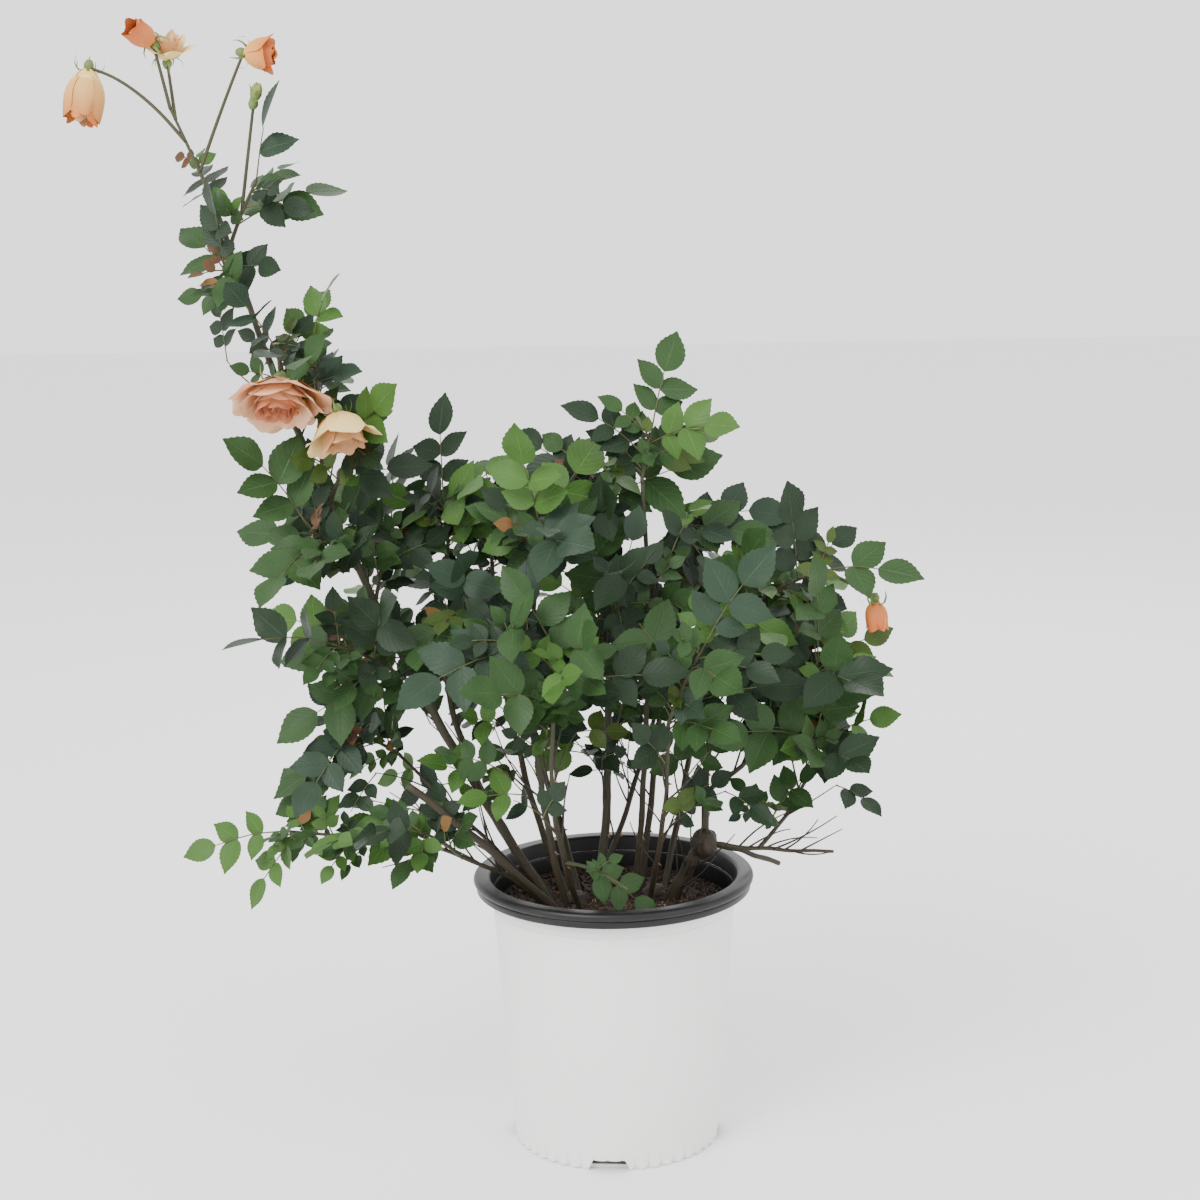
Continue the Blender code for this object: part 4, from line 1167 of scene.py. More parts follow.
def tube_faces(first, rings, sides):
    """The faces of a closed tube of rings, its points counted on from a number."""
    faces = []
    for ring in range(rings - 1):
        for k in range(sides):
            a, b = first + ring * sides + k, first + ring * sides + (k + 1) % sides
            faces.append((a, b, b + sides, a + sides))
    last = first + (rings - 1) * sides
    faces.append(tuple(first + k for k in reversed(range(sides))))
    faces.append(tuple(last + k for k in range(sides)))
    return faces


def sweep(limbs, sides):
    """Round tubes along many paths as points, faces and UV; radii in millimetres."""
    verts, faces, uvs = [], [], []
    for path, radii in limbs:
        side = (path[1] - path[0]).orthogonal()
        gone = 0.0
        first = len(verts)
        for i, place in enumerate(path):
            step = (path[min(i + 1, len(path) - 1)] - path[max(i - 1, 0)]).normalized()
            side = (side - step * side.dot(step)).normalized()
            other = step.cross(side)
            gone += (place - path[i - 1]).length if i else 0.0
            for k, spoke in enumerate(spokes(side, other, sides)):
                verts.append(place + spoke * radii[i] * MILLIMETRE)
                uvs.append((k / sides, gone * 20))
        faces += tube_faces(first, len(path), sides)
    return verts, faces, uvs


# %% Bark and stem finishes
BARK_STREAKS = 90.0
GREEN_FROM = 0.22             # heights in metres between which the wood turns from low to high tone
GREEN_BY = 0.62
BARK_SHADE = 0.45             # the streaks' tone, of the low one


def cane_paint(name, low, high, ridge):
    """Bark: streaked and mottled, from brown wood to green."""
    paint = Paint(name, roughness=0.68)
    streak = paint.speckle(BARK_STREAKS, 5.0)
    rise = paint.spread(paint.along(2, "Object"), GREEN_FROM, GREEN_BY)
    body = paint.blend(rise, low, high)
    paint.colour(paint.blend(streak * 0.6, body, tuple(v * BARK_SHADE for v in low)))
    paint.relief(streak, ridge)
    return paint.material


cane_bark = cane_paint("cane_bark", tint(52, 44, 26), tint(50, 54, 26), 0.0008)
old_bark = cane_paint("old_bark", tint(46, 37, 25), tint(58, 46, 30), 0.0012)
green_stem = cane_paint("green_stem", tint(54, 60, 28), tint(62, 58, 32), 0.0003)
rachis_paint = cane_paint("rachis", tint(76, 86, 40), tint(78, 74, 40), 0.0002)
print("bark finishes:", cane_bark.name, old_bark.name, green_stem.name, rachis_paint.name)

# %% Canes with buds and crooks
CANE_SIDES = 12
CANE_PARTS = 6                # drawn pieces between two points of the plan
BUD_EVERY = 0.9               # radians of crook and knot from one drawn point to the next
CROOK = 0.0009                # metres
SWAY = 0.0005
KNOT = 0.10                   # how much thicker a cane is at a bud


def crooked(path, name):
    """The cane's path with a slight crook at each bud, none at its ends."""
    luck = random.Random(name)
    fine_path = smooth_path(path, CANE_PARTS)
    last = len(fine_path) - 1
    phase = luck.uniform(0, math.tau)
    side = (path[1] - path[0]).orthogonal().normalized()
    found = []
    for i, place in enumerate(fine_path):
        sway = math.sin(i * BUD_EVERY) * CROOK + math.sin(i * 0.37 + phase) * SWAY
        found.append(place + side * sway * math.sin(math.pi * i / last))
    return found


def cane_girth(cane, count, phase):
    """Radii along a cane in millimetres, with knots at its buds."""
    return [radius * (1 + KNOT * max(0.0, math.sin(i * BUD_EVERY + phase)) ** 6 + 0.03 * math.sin(i * 2.3))
            for i, radius in enumerate(taper(cane.thick / 2, cane.thin / 2, count - 1))]


canes_drawn = {name: crooked(canes_at[name], name) for name in CANES}
limbs = [(path, cane_girth(CANES[name], len(path), k))
         for k, (name, path) in enumerate(canes_drawn.items())]
canes = make_piece("canes", *sweep(limbs, CANE_SIDES), cane_bark)
set_on(canes, "cane_bark", *CANES)
print(len(limbs), "canes,", len(canes.data.polygons), "faces")

# %% Prickles
PRICKLE_EVERY = 0.030         # metres of cane
PRICKLE_SIZE = 0.0038
PRICKLY_FROM = 5.0            # millimetres: thinner canes have none


def prickle(place, out, down, size):
    """A hooked prickle as a small four-sided spike: five points."""
    side = out.cross(down).normalized()
    foot = [place + down * size * 0.5, place + side * size * 0.18,
            place - down * size * 0.4, place - side * size * 0.18]
    return foot + [place + out * size + down * size * 0.45]


def grow_prickles():
    """Prickles up every thick cane, turning as they go."""
    verts, faces = [], []
    for name, path in canes_drawn.items():
        cane = CANES[name]
        if cane.thick < PRICKLY_FROM or "stub" in name:
            continue
        reach = sum((b - a).length for a, b in zip(path, path[1:]))
        count = int(reach / PRICKLE_EVERY)
        for k in range(2, count):
            place, step = point_along(path, k / count)
            out = turned_about(step.orthogonal().normalized(), step, k * GOLDEN_TURN)
            radius = (cane.thick + (cane.thin - cane.thick) * k / count) / 2000
            first = len(verts)
            verts += prickle(place + out * radius * 0.9, out, -step, PRICKLE_SIZE)
            faces += [(first, first + 1, first + 4), (first + 1, first + 2, first + 4),
                      (first + 2, first + 3, first + 4), (first + 3, first, first + 4),
                      (first + 3, first + 2, first + 1, first)]
    return verts, faces


prickle_verts, prickle_faces = grow_prickles()
prickle_paint = Paint("prickle", roughness=0.5).colour(tint(122, 84, 60)).material
prickles = make_piece("prickles", prickle_verts, prickle_faces, [(0, 0)] * len(prickle_verts),
                      prickle_paint, False)
set_on(prickles, "cane_bark")
print(len(prickle_verts) // 5, "prickles")

# %% Stems, stalks, rachises and bare twigs
STEM_PARTS = 3
STALK_PARTS = 4
STEM_ENDS = (STEM_RADIUS * 1.1, RACHIS_RADIUS * 1.2)   # millimetres of radius at foot and tip
STALK_ENDS = (RACHIS_RADIUS * 1.7, RACHIS_RADIUS * 1.3)
RACHIS_ENDS = (RACHIS_RADIUS * 0.8, RACHIS_RADIUS * 0.45)
LONE_ENDS = (RACHIS_RADIUS * 0.7, RACHIS_RADIUS * 0.4)
TWIG_ENDS = (1.0, 0.45)
STEM_SIDES = 7
RACHIS_SIDES = 5
TWIG_SIDES = 6


def rounded(path, parts, thick, thin):
    """A limb for sweep: a rounded path and its radii, in millimetres."""
    drawn = smooth_path(path, parts)
    return drawn, taper(thick, thin, len(drawn) - 1)


stem_limbs = []
rachis_limbs = []
for name, grown in plant.items():
    stem_limbs.append(rounded(grown.stem, STEM_PARTS, *STEM_ENDS))
    for stalk in grown.stalks.values():
        stem_limbs.append(rounded(stalk, STALK_PARTS, *STALK_ENDS))
    for twig in grown.twigs:
        rachis_limbs.append(rounded(twig, STEM_PARTS, *RACHIS_ENDS))
for leaf in lone_leaves:
    rachis_limbs.append(rounded(leaf[0], STEM_PARTS, *LONE_ENDS))
twig_limbs = [rounded(path, STEM_PARTS, *TWIG_ENDS) for path in bare_twigs.values()]
set_on(make_piece("stems", *sweep(stem_limbs, STEM_SIDES), green_stem), "rose_leaf")
set_on(make_piece("rachises", *sweep(rachis_limbs, RACHIS_SIDES), rachis_paint), "rose_leaf")
set_on(make_piece("bare_twigs", *sweep(twig_limbs, TWIG_SIDES), old_bark), "cane_bark")
print(len(stem_limbs), "stems and stalks,", len(rachis_limbs), "rachises")

# %% The crowns and the burl
KNOB_LUMPS = 0.15             # of its radius
KNOB_RIDGES = 0.05


def knob(name, centre, radius, squash, node):
    """A knobbly lump of old wood, where canes leave the mix or heal over a cut."""
    bm = bmesh.new()
    bmesh.ops.create_icosphere(bm, subdivisions=5, radius=1.0)
    for vert in bm.verts:
        coarse = KNOB_LUMPS * noise.noise(vert.co * 1.7 + centre * 40)
        ridges = KNOB_RIDGES * noise.noise(vert.co * 7.0 + centre * 9)
        spoke = Vector((vert.co.x, vert.co.y, vert.co.z * squash))
        vert.co = centre + spoke * radius * (1 + coarse + ridges)
    mesh = bpy.data.meshes.new(name)
    bm.to_mesh(mesh)
    bm.free()
    mesh.materials.append(old_bark)
    mesh.polygons.foreach_set("use_smooth", [True] * len(mesh.polygons))
    set_on(add_object(name, mesh), "cane_bark", node)


knob("left_knob", LEFT_CROWN, CROWN_RADIUS, 0.8, "left_crown")
knob("right_knob", RIGHT_CROWN, CROWN_RADIUS, 0.8, "right_crown")
knob("healed_burl", BURL, BURL_RADIUS, 1.15, "burl")
print("two crowns and a burl")

# %% [markdown]
# ## Blooms
#
# A rose is rings of cupped petals about one axis.  Each petal is a small sheet on a surface of
# revolution: it leaves the axis at one slope, bends to another along its length, and curls out at
# its lip.  Rings from wide and open to narrow and upright make the crowded middle of the bloom.

# %% Petal finishes: the colour at each petal's foot, and at its lip
PETAL_TONES = {
    "outer": (tint(232, 184, 128), tint(232, 184, 150)),
    "inner": (tint(190, 116, 74), tint(214, 140, 104)),
    # inner: the middle petals' deeper apricot pink, darkened further as painted shade on the face of a
    # bloom that nods down
    "orange": (tint(226, 180, 92), tint(198, 110, 54)),
    "coral": (tint(208, 134, 68), tint(182, 94, 50)),
    "tan": (tint(230, 196, 120), tint(186, 118, 62)),
    "cream": (tint(226, 184, 90), tint(232, 204, 146)),
    "faded": (tint(176, 140, 78), tint(204, 152, 108)),
    "green": (tint(94, 112, 54), tint(124, 134, 70)),
}
PETAL_LINES = 70.0
LINE_SHOWS = 0.35
LINE_DARKER = 0.78            # times the lip's tone
PETAL_RELIEF = 0.0004         # metres


def petal_paint(tone, foot, lip):
    """Soft petal: one colour at its foot, another at its lip, with faint lines along it."""
    paint = Paint("petal_" + tone, roughness=0.62, Specular_IOR_Level=0.3)
    body = paint.blend(paint.along(1), foot, lip)
    lines = paint.speckle(PETAL_LINES, 4.0)
    paint.colour(paint.blend(lines * LINE_SHOWS, body, tuple(v * LINE_DARKER for v in lip)))
    paint.relief(lines, PETAL_RELIEF)
    return paint.material


petal_finish = {tone: petal_paint(tone, *colours) for tone, colours in PETAL_TONES.items()}
sepal_finish = Paint("sepal", roughness=0.6).colour(tint(92, 112, 54)).material
print(len(petal_finish), "petal finishes")

# %% One petal
# A ring has a number of petals, each this long, and this wide to each side of its middle, in
# metres.  Slopes are radians from the bloom's axis: at the foot, at the tip, and the lip's curl.
Ring = namedtuple("Ring", "petals length width slope tip curl tone")
PETAL_ROWS = 9
PETAL_COLUMNS = 9
AXIS_ROOM = 0.0006            # metres: no petal starts nearer to the axis
CURL_FROM = 0.72              # the share of its length from which a petal curls
WIDEST_SPREAD = 1.25          # radians to each side
RUFFLE = 0.0013               # metres
RUFFLES = 4.2                 # radians of ruffle from the middle to an edge
HOLLOW = 0.0006               # how far a petal's edges stand nearer to the axis, in metres
CUP = 0.09                    # how much lower they end, of its length
LIP_NARROWER = 0.86
PETAL_LENGTHS = (0.9, 1.08)   # of the ring's own length


def petal(ring, turn, luck):
    """One petal as rows of points in the bloom's own space, its axis along +Z."""
    points = []
    uvs = []
    radius, height = AXIS_ROOM, 0.0
    ruffle = luck.uniform(0, math.tau)
    length = ring.length * luck.uniform(*PETAL_LENGTHS)
    part = length / (PETAL_ROWS - 1)
    for i in range(PETAL_ROWS):
        along = i / (PETAL_ROWS - 1)
        slope = ring.slope + (ring.tip - ring.slope) * along
        slope += ring.curl * max(0.0, along - CURL_FROM) / (1 - CURL_FROM)
        if i:
            radius = max(AXIS_ROOM, radius + math.sin(slope) * part)
            height += math.cos(slope) * part
        half = ring.width * (0.30 + 0.70 * math.sin(math.pi * (0.10 + 0.62 * along)))
        half *= 1.0 if along < 0.99 else LIP_NARROWER
        spread = min(half / max(radius, 0.003), WIDEST_SPREAD)
        for j in range(PETAL_COLUMNS):
            across = j / (PETAL_COLUMNS - 1) * 2 - 1
            bearing = turn + across * spread
            wave = math.sin(across * RUFFLES + ruffle) * RUFFLE * along ** 2
            reach = radius + wave - abs(across) ** 2 * HOLLOW
            lift = height - abs(across) ** 2.5 * length * CUP * along + wave * 0.8
            points.append(on_circle(bearing, reach, lift))
            uvs.append((across * 0.5 + 0.5, along))
    return points, uvs


def petal_faces(first):
    """The faces of a petal whose points start at a number."""
    faces = []
    for i in range(PETAL_ROWS - 1):
        for j in range(PETAL_COLUMNS - 1):
            a = first + i * PETAL_COLUMNS + j
            faces.append((a, a + 1, a + 1 + PETAL_COLUMNS, a + PETAL_COLUMNS))
    return faces


# %% The rings of each kind of bloom
OPEN_RINGS = [
    Ring(7, 0.050, 0.022, 1.60, 0.35, 0.8, "outer"),
    Ring(8, 0.046, 0.020, 1.50, 0.15, 0.6, "outer"),
    Ring(9, 0.041, 0.017, 1.35, 0.00, 0.5, "outer"),
    Ring(10, 0.036, 0.013, 1.25, -0.15, 0.3, "inner"),
    Ring(11, 0.032, 0.011, 1.05, -0.20, 0.2, "inner"),
    Ring(11, 0.029, 0.009, 0.85, -0.20, 0.1, "inner"),
    Ring(9, 0.026, 0.007, 0.60, -0.20, 0.0, "inner"),
    Ring(6, 0.023, 0.006, 0.30, -0.10, 0.0, "inner"),
]
FADED_RINGS = [
    Ring(5, 0.046, 0.017, 1.35, 0.10, 0.9, "cream"),
    Ring(6, 0.040, 0.014, 1.15, -0.20, 0.5, "faded"),
    Ring(7, 0.033, 0.011, 0.95, -0.30, 0.4, "faded"),
    Ring(6, 0.027, 0.008, 0.70, -0.30, 0.2, "inner"),
    Ring(5, 0.022, 0.006, 0.40, -0.20, 0.0, "cream"),
]
NODDING_RINGS = [
    Ring(3, 0.033, 0.019, 1.30, -0.25, 0.0, "cream"),
    Ring(4, 0.048, 0.016, 1.20, -0.50, 0.3, "tan"),
    Ring(4, 0.052, 0.013, 1.00, -0.50, 0.5, "orange"),
    Ring(4, 0.046, 0.010, 0.80, -0.40, 0.1, "faded"),
    Ring(3, 0.038, 0.008, 0.60, -0.30, 0.0, "cream"),
]
BUD_RINGS = [
    Ring(4, 0.030, 0.012, 1.30, -0.65, 0.6, "coral"),
    Ring(4, 0.028, 0.011, 1.15, -0.60, 0.2, "orange"),
    Ring(4, 0.026, 0.009, 0.95, -0.55, 0.0, "coral"),
    Ring(3, 0.022, 0.006, 0.60, -0.40, 0.0, "coral"),
]
RIGHT_RINGS = [
    Ring(4, 0.031, 0.014, 1.40, -0.40, 0.9, "orange"),
    Ring(4, 0.030, 0.013, 1.25, -0.60, 0.3, "coral"),
    Ring(4, 0.028, 0.010, 1.05, -0.55, 0.0, "orange"),
    Ring(3, 0.024, 0.007, 0.70, -0.40, 0.0, "coral"),
]
SPENT_RINGS = [
    Ring(5, 0.028, 0.010, 1.30, 0.40, 0.9, "cream"),
    Ring(5, 0.024, 0.008, 1.00, -0.10, 0.6, "faded"),
    Ring(4, 0.020, 0.006, 0.60, -0.10, 0.2, "cream"),
]
TIGHT_RINGS = [Ring(4, 0.019, 0.007, 1.15, -0.85, 0.0, "green")]
RINGS_OF = {
    "top_bud": BUD_RINGS,
    "spent_bloom": SPENT_RINGS,
    "nodding_bloom": NODDING_RINGS,
    "right_bloom": RIGHT_RINGS,
    "round_bud": TIGHT_RINGS,
    "open_bloom": OPEN_RINGS,
    "faded_bloom": FADED_RINGS,
    "nodding_rosebud": BUD_RINGS,
}
print("petals in each:", {name: sum(ring.petals for ring in rings) for name, rings in RINGS_OF.items()})

# %% The calyx: a round hip and five sepals
HIP_SIDES = 8
HIP_ROWS = 5
SEPALS = 5
SEPAL_PARTS = 5
SEPAL_REACH = 3.0             # in hip sizes
SEPAL_HALF = 0.42             # half its width at its foot, in hip sizes


def hip(size):
    """The round hip under a bloom, in the bloom's own space."""
    verts = []
    for i in range(HIP_ROWS + 1):
        share = i / HIP_ROWS
        radius = size * (0.25 + 0.75 * math.sin(math.pi * (0.12 + 0.70 * share)))
        height = (share - 0.75) * size * 2.0
        verts += [on_circle(math.tau * k / HIP_SIDES, radius, height) for k in range(HIP_SIDES)]
    return verts, tube_faces(0, HIP_ROWS + 1, HIP_SIDES)


def calyx(size, luck, folded):
    """The hip and its pointed sepals, which lean out from the axis by this angle at their tips."""
    verts, faces = hip(size)
    for k in range(SEPALS):
        turn = math.tau * k / SEPALS + luck.uniform(-0.2, 0.2)
        out = Vector((math.cos(turn), math.sin(turn), 0))
        side = Vector((-out.y, out.x, 0))
        first = len(verts)
        for i in range(SEPAL_PARTS + 1):
            along = i / SEPAL_PARTS
            bend = folded * along + luck.uniform(-0.1, 0.1)
            reach = size * SEPAL_REACH * along
            half = size * SEPAL_HALF * (1 - along) ** 0.7 + 0.0002
            middle = out * (size * 0.8 + math.sin(bend) * reach)
            middle.z = size * 0.2 + math.cos(bend) * reach
            verts += [middle - side * half, middle + side * half]
        for i in range(SEPAL_PARTS):
            a = first + i * 2
            faces.append((a, a + 1, a + 3, a + 2))
    return verts, faces


print(len(hip(1.0)[1]), "faces in a hip")

# %% Setting each bloom on its stalk
LARGE_BLOOM = 0.05            # metres across
LARGE_HIP = 0.0062
SMALL_HIP = 0.0042
OPENED = 0.015                # buds smaller than this across still hold their sepals up
FOLDED_BACK = 2.3             # radians from the axis
HELD_UP = 0.5

petals = {tone: ([], [], []) for tone in PETAL_TONES}
sepals = ([], [], [])


def set_bloom(name, bloom):
    """Gather the petals, hip and sepals of one bloom, where its stalk ends."""
    luck = random.Random(name)
    facing = Vector(bloom.facing).normalized()
    turned = Vector((0, 0, 1)).rotation_difference(facing).to_matrix().to_4x4()
    seat = Matrix.Translation(plant[bloom.mass].stalks[name][-1]) @ turned
    for ring in RINGS_OF[name]:
        verts, faces, uvs = petals[ring.tone]
        start = luck.uniform(0, math.tau)
        for k in range(ring.petals):
            points, places = petal(ring, start + math.tau * k / ring.petals, luck)
            faces += petal_faces(len(verts))
            verts += [seat @ point for point in points]
            uvs += places
    size = LARGE_HIP if bloom.width > LARGE_BLOOM else SMALL_HIP
    hip_verts, hip_faces = calyx(size, luck, FOLDED_BACK if bloom.width > OPENED else HELD_UP)
    verts, faces, uvs = sepals
    faces += [tuple(len(verts) + k for k in face) for face in hip_faces]
    verts += [seat @ vert for vert in hip_verts]
    uvs += [(0.5, 0.5)] * len(hip_verts)


for name, bloom in BLOOMS.items():
    set_bloom(name, bloom)
for tone, (verts, faces, uvs) in petals.items():
    set_on(make_piece("petals_" + tone, verts, faces, uvs, petal_finish[tone]), "rose_leaf")
set_on(make_piece("sepals", *sepals, sepal_finish), "rose_leaf")
print("petal points:", {tone: len(parts[0]) for tone, parts in petals.items()})

# %% [markdown]
# ## The pot
#
# The pot is thin moulded plastic: a black lip with a rounded ring over a smaller skirt, a black
# inside, and a plain white outside.  A thin white sleeve starts a little below the lip, and its
# edge shows as a faint step.  The foot is softly scalloped, with drainage notches.  Both pieces
# are turned from their sections, as on a lathe, because a section says all about a round pot.

# %% Turning a section
POT_TURN = 376                # sides of the turned pot


def lathe(name, section, sides, material):
    """A closed section of radius and height, turned about the pot's axis."""
    verts = []
    faces = []
    count = len(section)
    for k in range(sides):
        turn = math.tau * k / sides
        verts += [on_circle(turn, r, z) for r, z in section]
    for k in range(sides):
        here, there = k * count, (k + 1) % sides * count
        for i in range(count):
            n = (i + 1) % count
            faces.append((here + i, there + i, there + n, here + n))
    uvs = [(k / sides, i / count) for k in range(sides) for i in range(count)]
    return make_piece(name, verts, faces, uvs, material)


def arc(centre_r, centre_z, radius, start, end, steps):
    """Points of an arc in a section, its angles in degrees."""
    found = []
    for i in range(steps + 1):
        turn = math.radians(start + (end - start) * i / steps)
        found.append((centre_r + math.cos(turn) * radius, centre_z + math.sin(turn) * radius))
    return found


def wall_radius(height):
    """The outer radius of the pot's wall at a height."""
    shelf = POT_HEIGHT - LIP_DROP * 0.62 - 0.0048
    return BASE_RADIUS + (WALL_TOP_RADIUS - BASE_RADIUS) * height / shelf


# %% Pot finishes
DIRT_AND_SHADE_UP_TO = 0.05             # metres: the foot is darkest, with real dirt and painted shade

white = Paint("white_pot", roughness=0.42, Specular_IOR_Level=0.5)
smudge = white.speckle(9.0, 5.0)
# Darker towards the foot: real dirt, and painted shade where the foot meets the floor and round its
# scallops
foot_dirt_and_shade = white.spread(white.along(2, "Object"), 0.0, DIRT_AND_SHADE_UP_TO, 0.5, 0.0)
dirt_and_shade_mask = white.spread(smudge, 0.52, 0.75, 0.0, 0.30)
white.colour(white.blend(dirt_and_shade_mask * (foot_dirt_and_shade + 0.25), tint(232, 232, 230), tint(168, 158, 142)))
white.relief(white.speckle(160.0), 0.00010)
black = Paint("black_lip", roughness=0.42, Specular_IOR_Level=0.35)
grime = black.spread(black.speckle(22.0, 6.0), 0.5, 0.8, 0.0, 0.5)
black.colour(black.blend(grime, tint(13, 13, 14), tint(44, 40, 36)))
black.relief(black.speckle(120.0), 0.00015)
print("pot finishes:", white.material.name, black.material.name)

# %% The white outside
SCALLOPS = 47
SCALLOP_RISE = 0.014
SCALLOP_DEPTH = 0.0024
SCALLOP_LIFT = 0.0030
WRAP_TOP = POT_HEIGHT - LIP_DROP - 0.0135
WRAP_STEP = 0.00035
WHITE_WALL = 0.0011
FOOT_PARTS = 10               # rows of points up the scallops


def white_section():
    """The white skirt's section: up its outside to the lip, down its inside, and its floor."""
    rows = [0.0006 + SCALLOP_RISE * 1.4 * i / FOOT_PARTS for i in range(FOOT_PARTS + 1)]
    rows += [0.05, 0.10, 0.15, 0.19]
    outside = [(wall_radius(z) + WRAP_STEP * (z > 0.002), z) for z in rows]
    outside += [(wall_radius(WRAP_TOP) + WRAP_STEP, WRAP_TOP - 0.0004), (wall_radius(WRAP_TOP), WRAP_TOP)]
    outside += [(wall_radius(0.226), 0.226), (wall_radius(0.229) - WHITE_WALL, 0.229)]
    inside = [(wall_radius(z) - WHITE_WALL, z) for z in (0.19, 0.10, 0.008)]
    base = [(BASE_RADIUS - 0.003, 0.0028), (0.0008, 0.0028), (0.0008, 0.0003)]
    return outside + inside + base + [(BASE_RADIUS - 0.003, 0.0)]


def scallop_foot(mesh):
    """Press soft scallops into the foot of the turned skirt."""
    for vert in mesh.vertices:
        out = vert.co.xy.length
        if vert.co.z < SCALLOP_RISE * 1.5 and out > BASE_RADIUS - 0.0008:
            lobe = 1 - abs(math.cos(math.atan2(vert.co.y, vert.co.x) * SCALLOPS / 2)) ** 0.6
            fade = max(0.0, 1 - vert.co.z / SCALLOP_RISE)
            vert.co.xy *= (out - SCALLOP_DEPTH * lobe * fade ** 0.6) / out
            vert.co.z += SCALLOP_LIFT * lobe * fade


pot_white = lathe("pot_outside", white_section(), POT_TURN, white.material)
scallop_foot(pot_white.data)
print(SCALLOPS, "scallops round the foot")

# %% Drainage notches
NOTCHES = 4
NOTCH_WIDTH = 0.039
NOTCH_HEIGHT = 0.0095
NOTCH_DEPTH = 0.016
NOTCH_TURN = math.radians(-95)


def notch_cutters():
    """The boxes that cut the drainage notches, joined as one mesh."""
    bm = bmesh.new()
    for i in range(NOTCHES):
        made = bmesh.ops.create_cube(bm, size=1.0)["verts"]
        turn = NOTCH_TURN + math.tau * i / NOTCHES
        for vert in made:
            narrow = 0.72 if vert.co.z > 0 else 1.0
            vert.co = Vector((vert.co.x * NOTCH_DEPTH, vert.co.y * NOTCH_WIDTH * narrow,
                              NOTCH_HEIGHT if vert.co.z > 0 else -0.002))
        place = Matrix.Rotation(turn, 4, "Z") @ Matrix.Translation((BASE_RADIUS - 0.001, 0, 0))
        bmesh.ops.transform(bm, matrix=place, verts=made)
    mesh = bpy.data.meshes.new("notch_cutters")
    bm.to_mesh(mesh)
    bm.free()
    return add_object("notch_cutters", mesh)


def settle(piece):
    """Apply a piece's modifiers, so that it is a plain mesh."""
    graph = bpy.context.evaluated_depsgraph_get()
    mesh = bpy.data.meshes.new_from_object(piece.evaluated_get(graph))
    piece.modifiers.clear()
    piece.data = mesh


notcher = notch_cutters()
carve = pot_white.modifiers.new("notches", "BOOLEAN")
carve.operation = "DIFFERENCE"
carve.object = notcher
settle(pot_white)
bpy.data.objects.remove(notcher, do_unlink=True)
pot_white.data.polygons.foreach_set("use_smooth", [True] * len(pot_white.data.polygons))
pot_white.data.set_sharp_from_angle(angle=math.radians(35))
set_on(pot_white, "white_pot", "pot")
print("pot outside:", len(pot_white.data.polygons), "faces")

# %% The black lip and inside
LINER = 0.0024                # how far inside the outer wall the black inside face stands
LINER_BACK = 0.0014           # and its other face


def lip_section():
    """The lip's section: up the liner, over the rounded lip, under it and down behind the liner."""
    rim = RIM_RADIUS
    top = POT_HEIGHT
    under = top - LIP_DROP
    found = [(wall_radius(0.18) - LINER, 0.18), (wall_radius(0.2215) - LINER, 0.2215)]
    found += arc(rim - 0.0112, top - 0.0036, 0.0035, 170, 95, 4)
    found += arc(rim - 0.0040, top - 0.0040, 0.0040, 90, -35, 8)
    found += arc(rim - 0.0042, top - 0.0092, 0.0018, 50, 0, 3)
    found += [(rim - 0.0026, under + 0.0006), (rim - 0.0032, under)]
    found += [(rim - 0.0046, under), (rim - 0.0050, under + 0.0008)]
    found += [(rim - 0.0066, top - 0.0086), (WALL_TOP_RADIUS - 0.0002, 0.2298)]
    return found + [(wall_radius(0.2285) - LINER_BACK, 0.2285), (wall_radius(0.18) - LINER_BACK, 0.18)]


pot_black = lathe("pot_lip", lip_section()[::-1], POT_TURN, black.material)
pot_black.data.set_sharp_from_angle(angle=math.radians(50))
set_on(pot_black, "white_pot")
print("pot lip:", len(pot_black.data.polygons), "faces")

# %% [markdown]
# ## The potting mix
#
# Coarse bark and peat: dark, rough, with chips and a few dry bits.  The surface is a disc moved by
# noise.  The chips are scattered by Geometry Nodes over that surface: points, one small chip on
# each, turned and scaled by chance, made real, and given their finish.

# %% The rough surface
MIX_RINGS = 46
MIX_TURN = 150
MIX_EDGE = 0.0023             # how far inside the outer wall the mix ends, in metres
MIX_SIDE = 0.02               # height of its side, out of sight in the pot
MIX_DROP = 0.0012             # how far it lies below the solid's top
HEAP = 0.0015                 # how much higher it stands at a crown
HEAP_REACH = 0.05
MIX_NOISE = ((45, 0.0022), (130, 0.0012), (300, 0.0007))   # how fine and how high
MIX_TONES = ((0.30, tint(20, 15, 12)), (0.52, tint(48, 36, 28)), (0.75, tint(86, 66, 50)))

mix_paint = Paint("potting_mix", roughness=0.95)
crumbs = mix_paint.speckle(170.0, 6.0)
clods = mix_paint.speckle(45.0, 3.0)
mix_paint.colour(mix_paint.ramp(crumbs * 0.7 + clods * 0.3, *MIX_TONES))
mix_paint.relief(crumbs, 0.0030)


def mix_height(place):
    """How high the mix stands at a place."""
    near = min((place - LEFT_CROWN.xy).length, (place - RIGHT_CROWN.xy).length)
    heap = max(0.0, 1 - near / HEAP_REACH) * HEAP
    high = Vector((place.x, place.y, 0.3))
    rough = sum(height * noise.noise(high * scale) for scale, height in MIX_NOISE)
    return SOIL_TOP - MIX_DROP + rough + heap


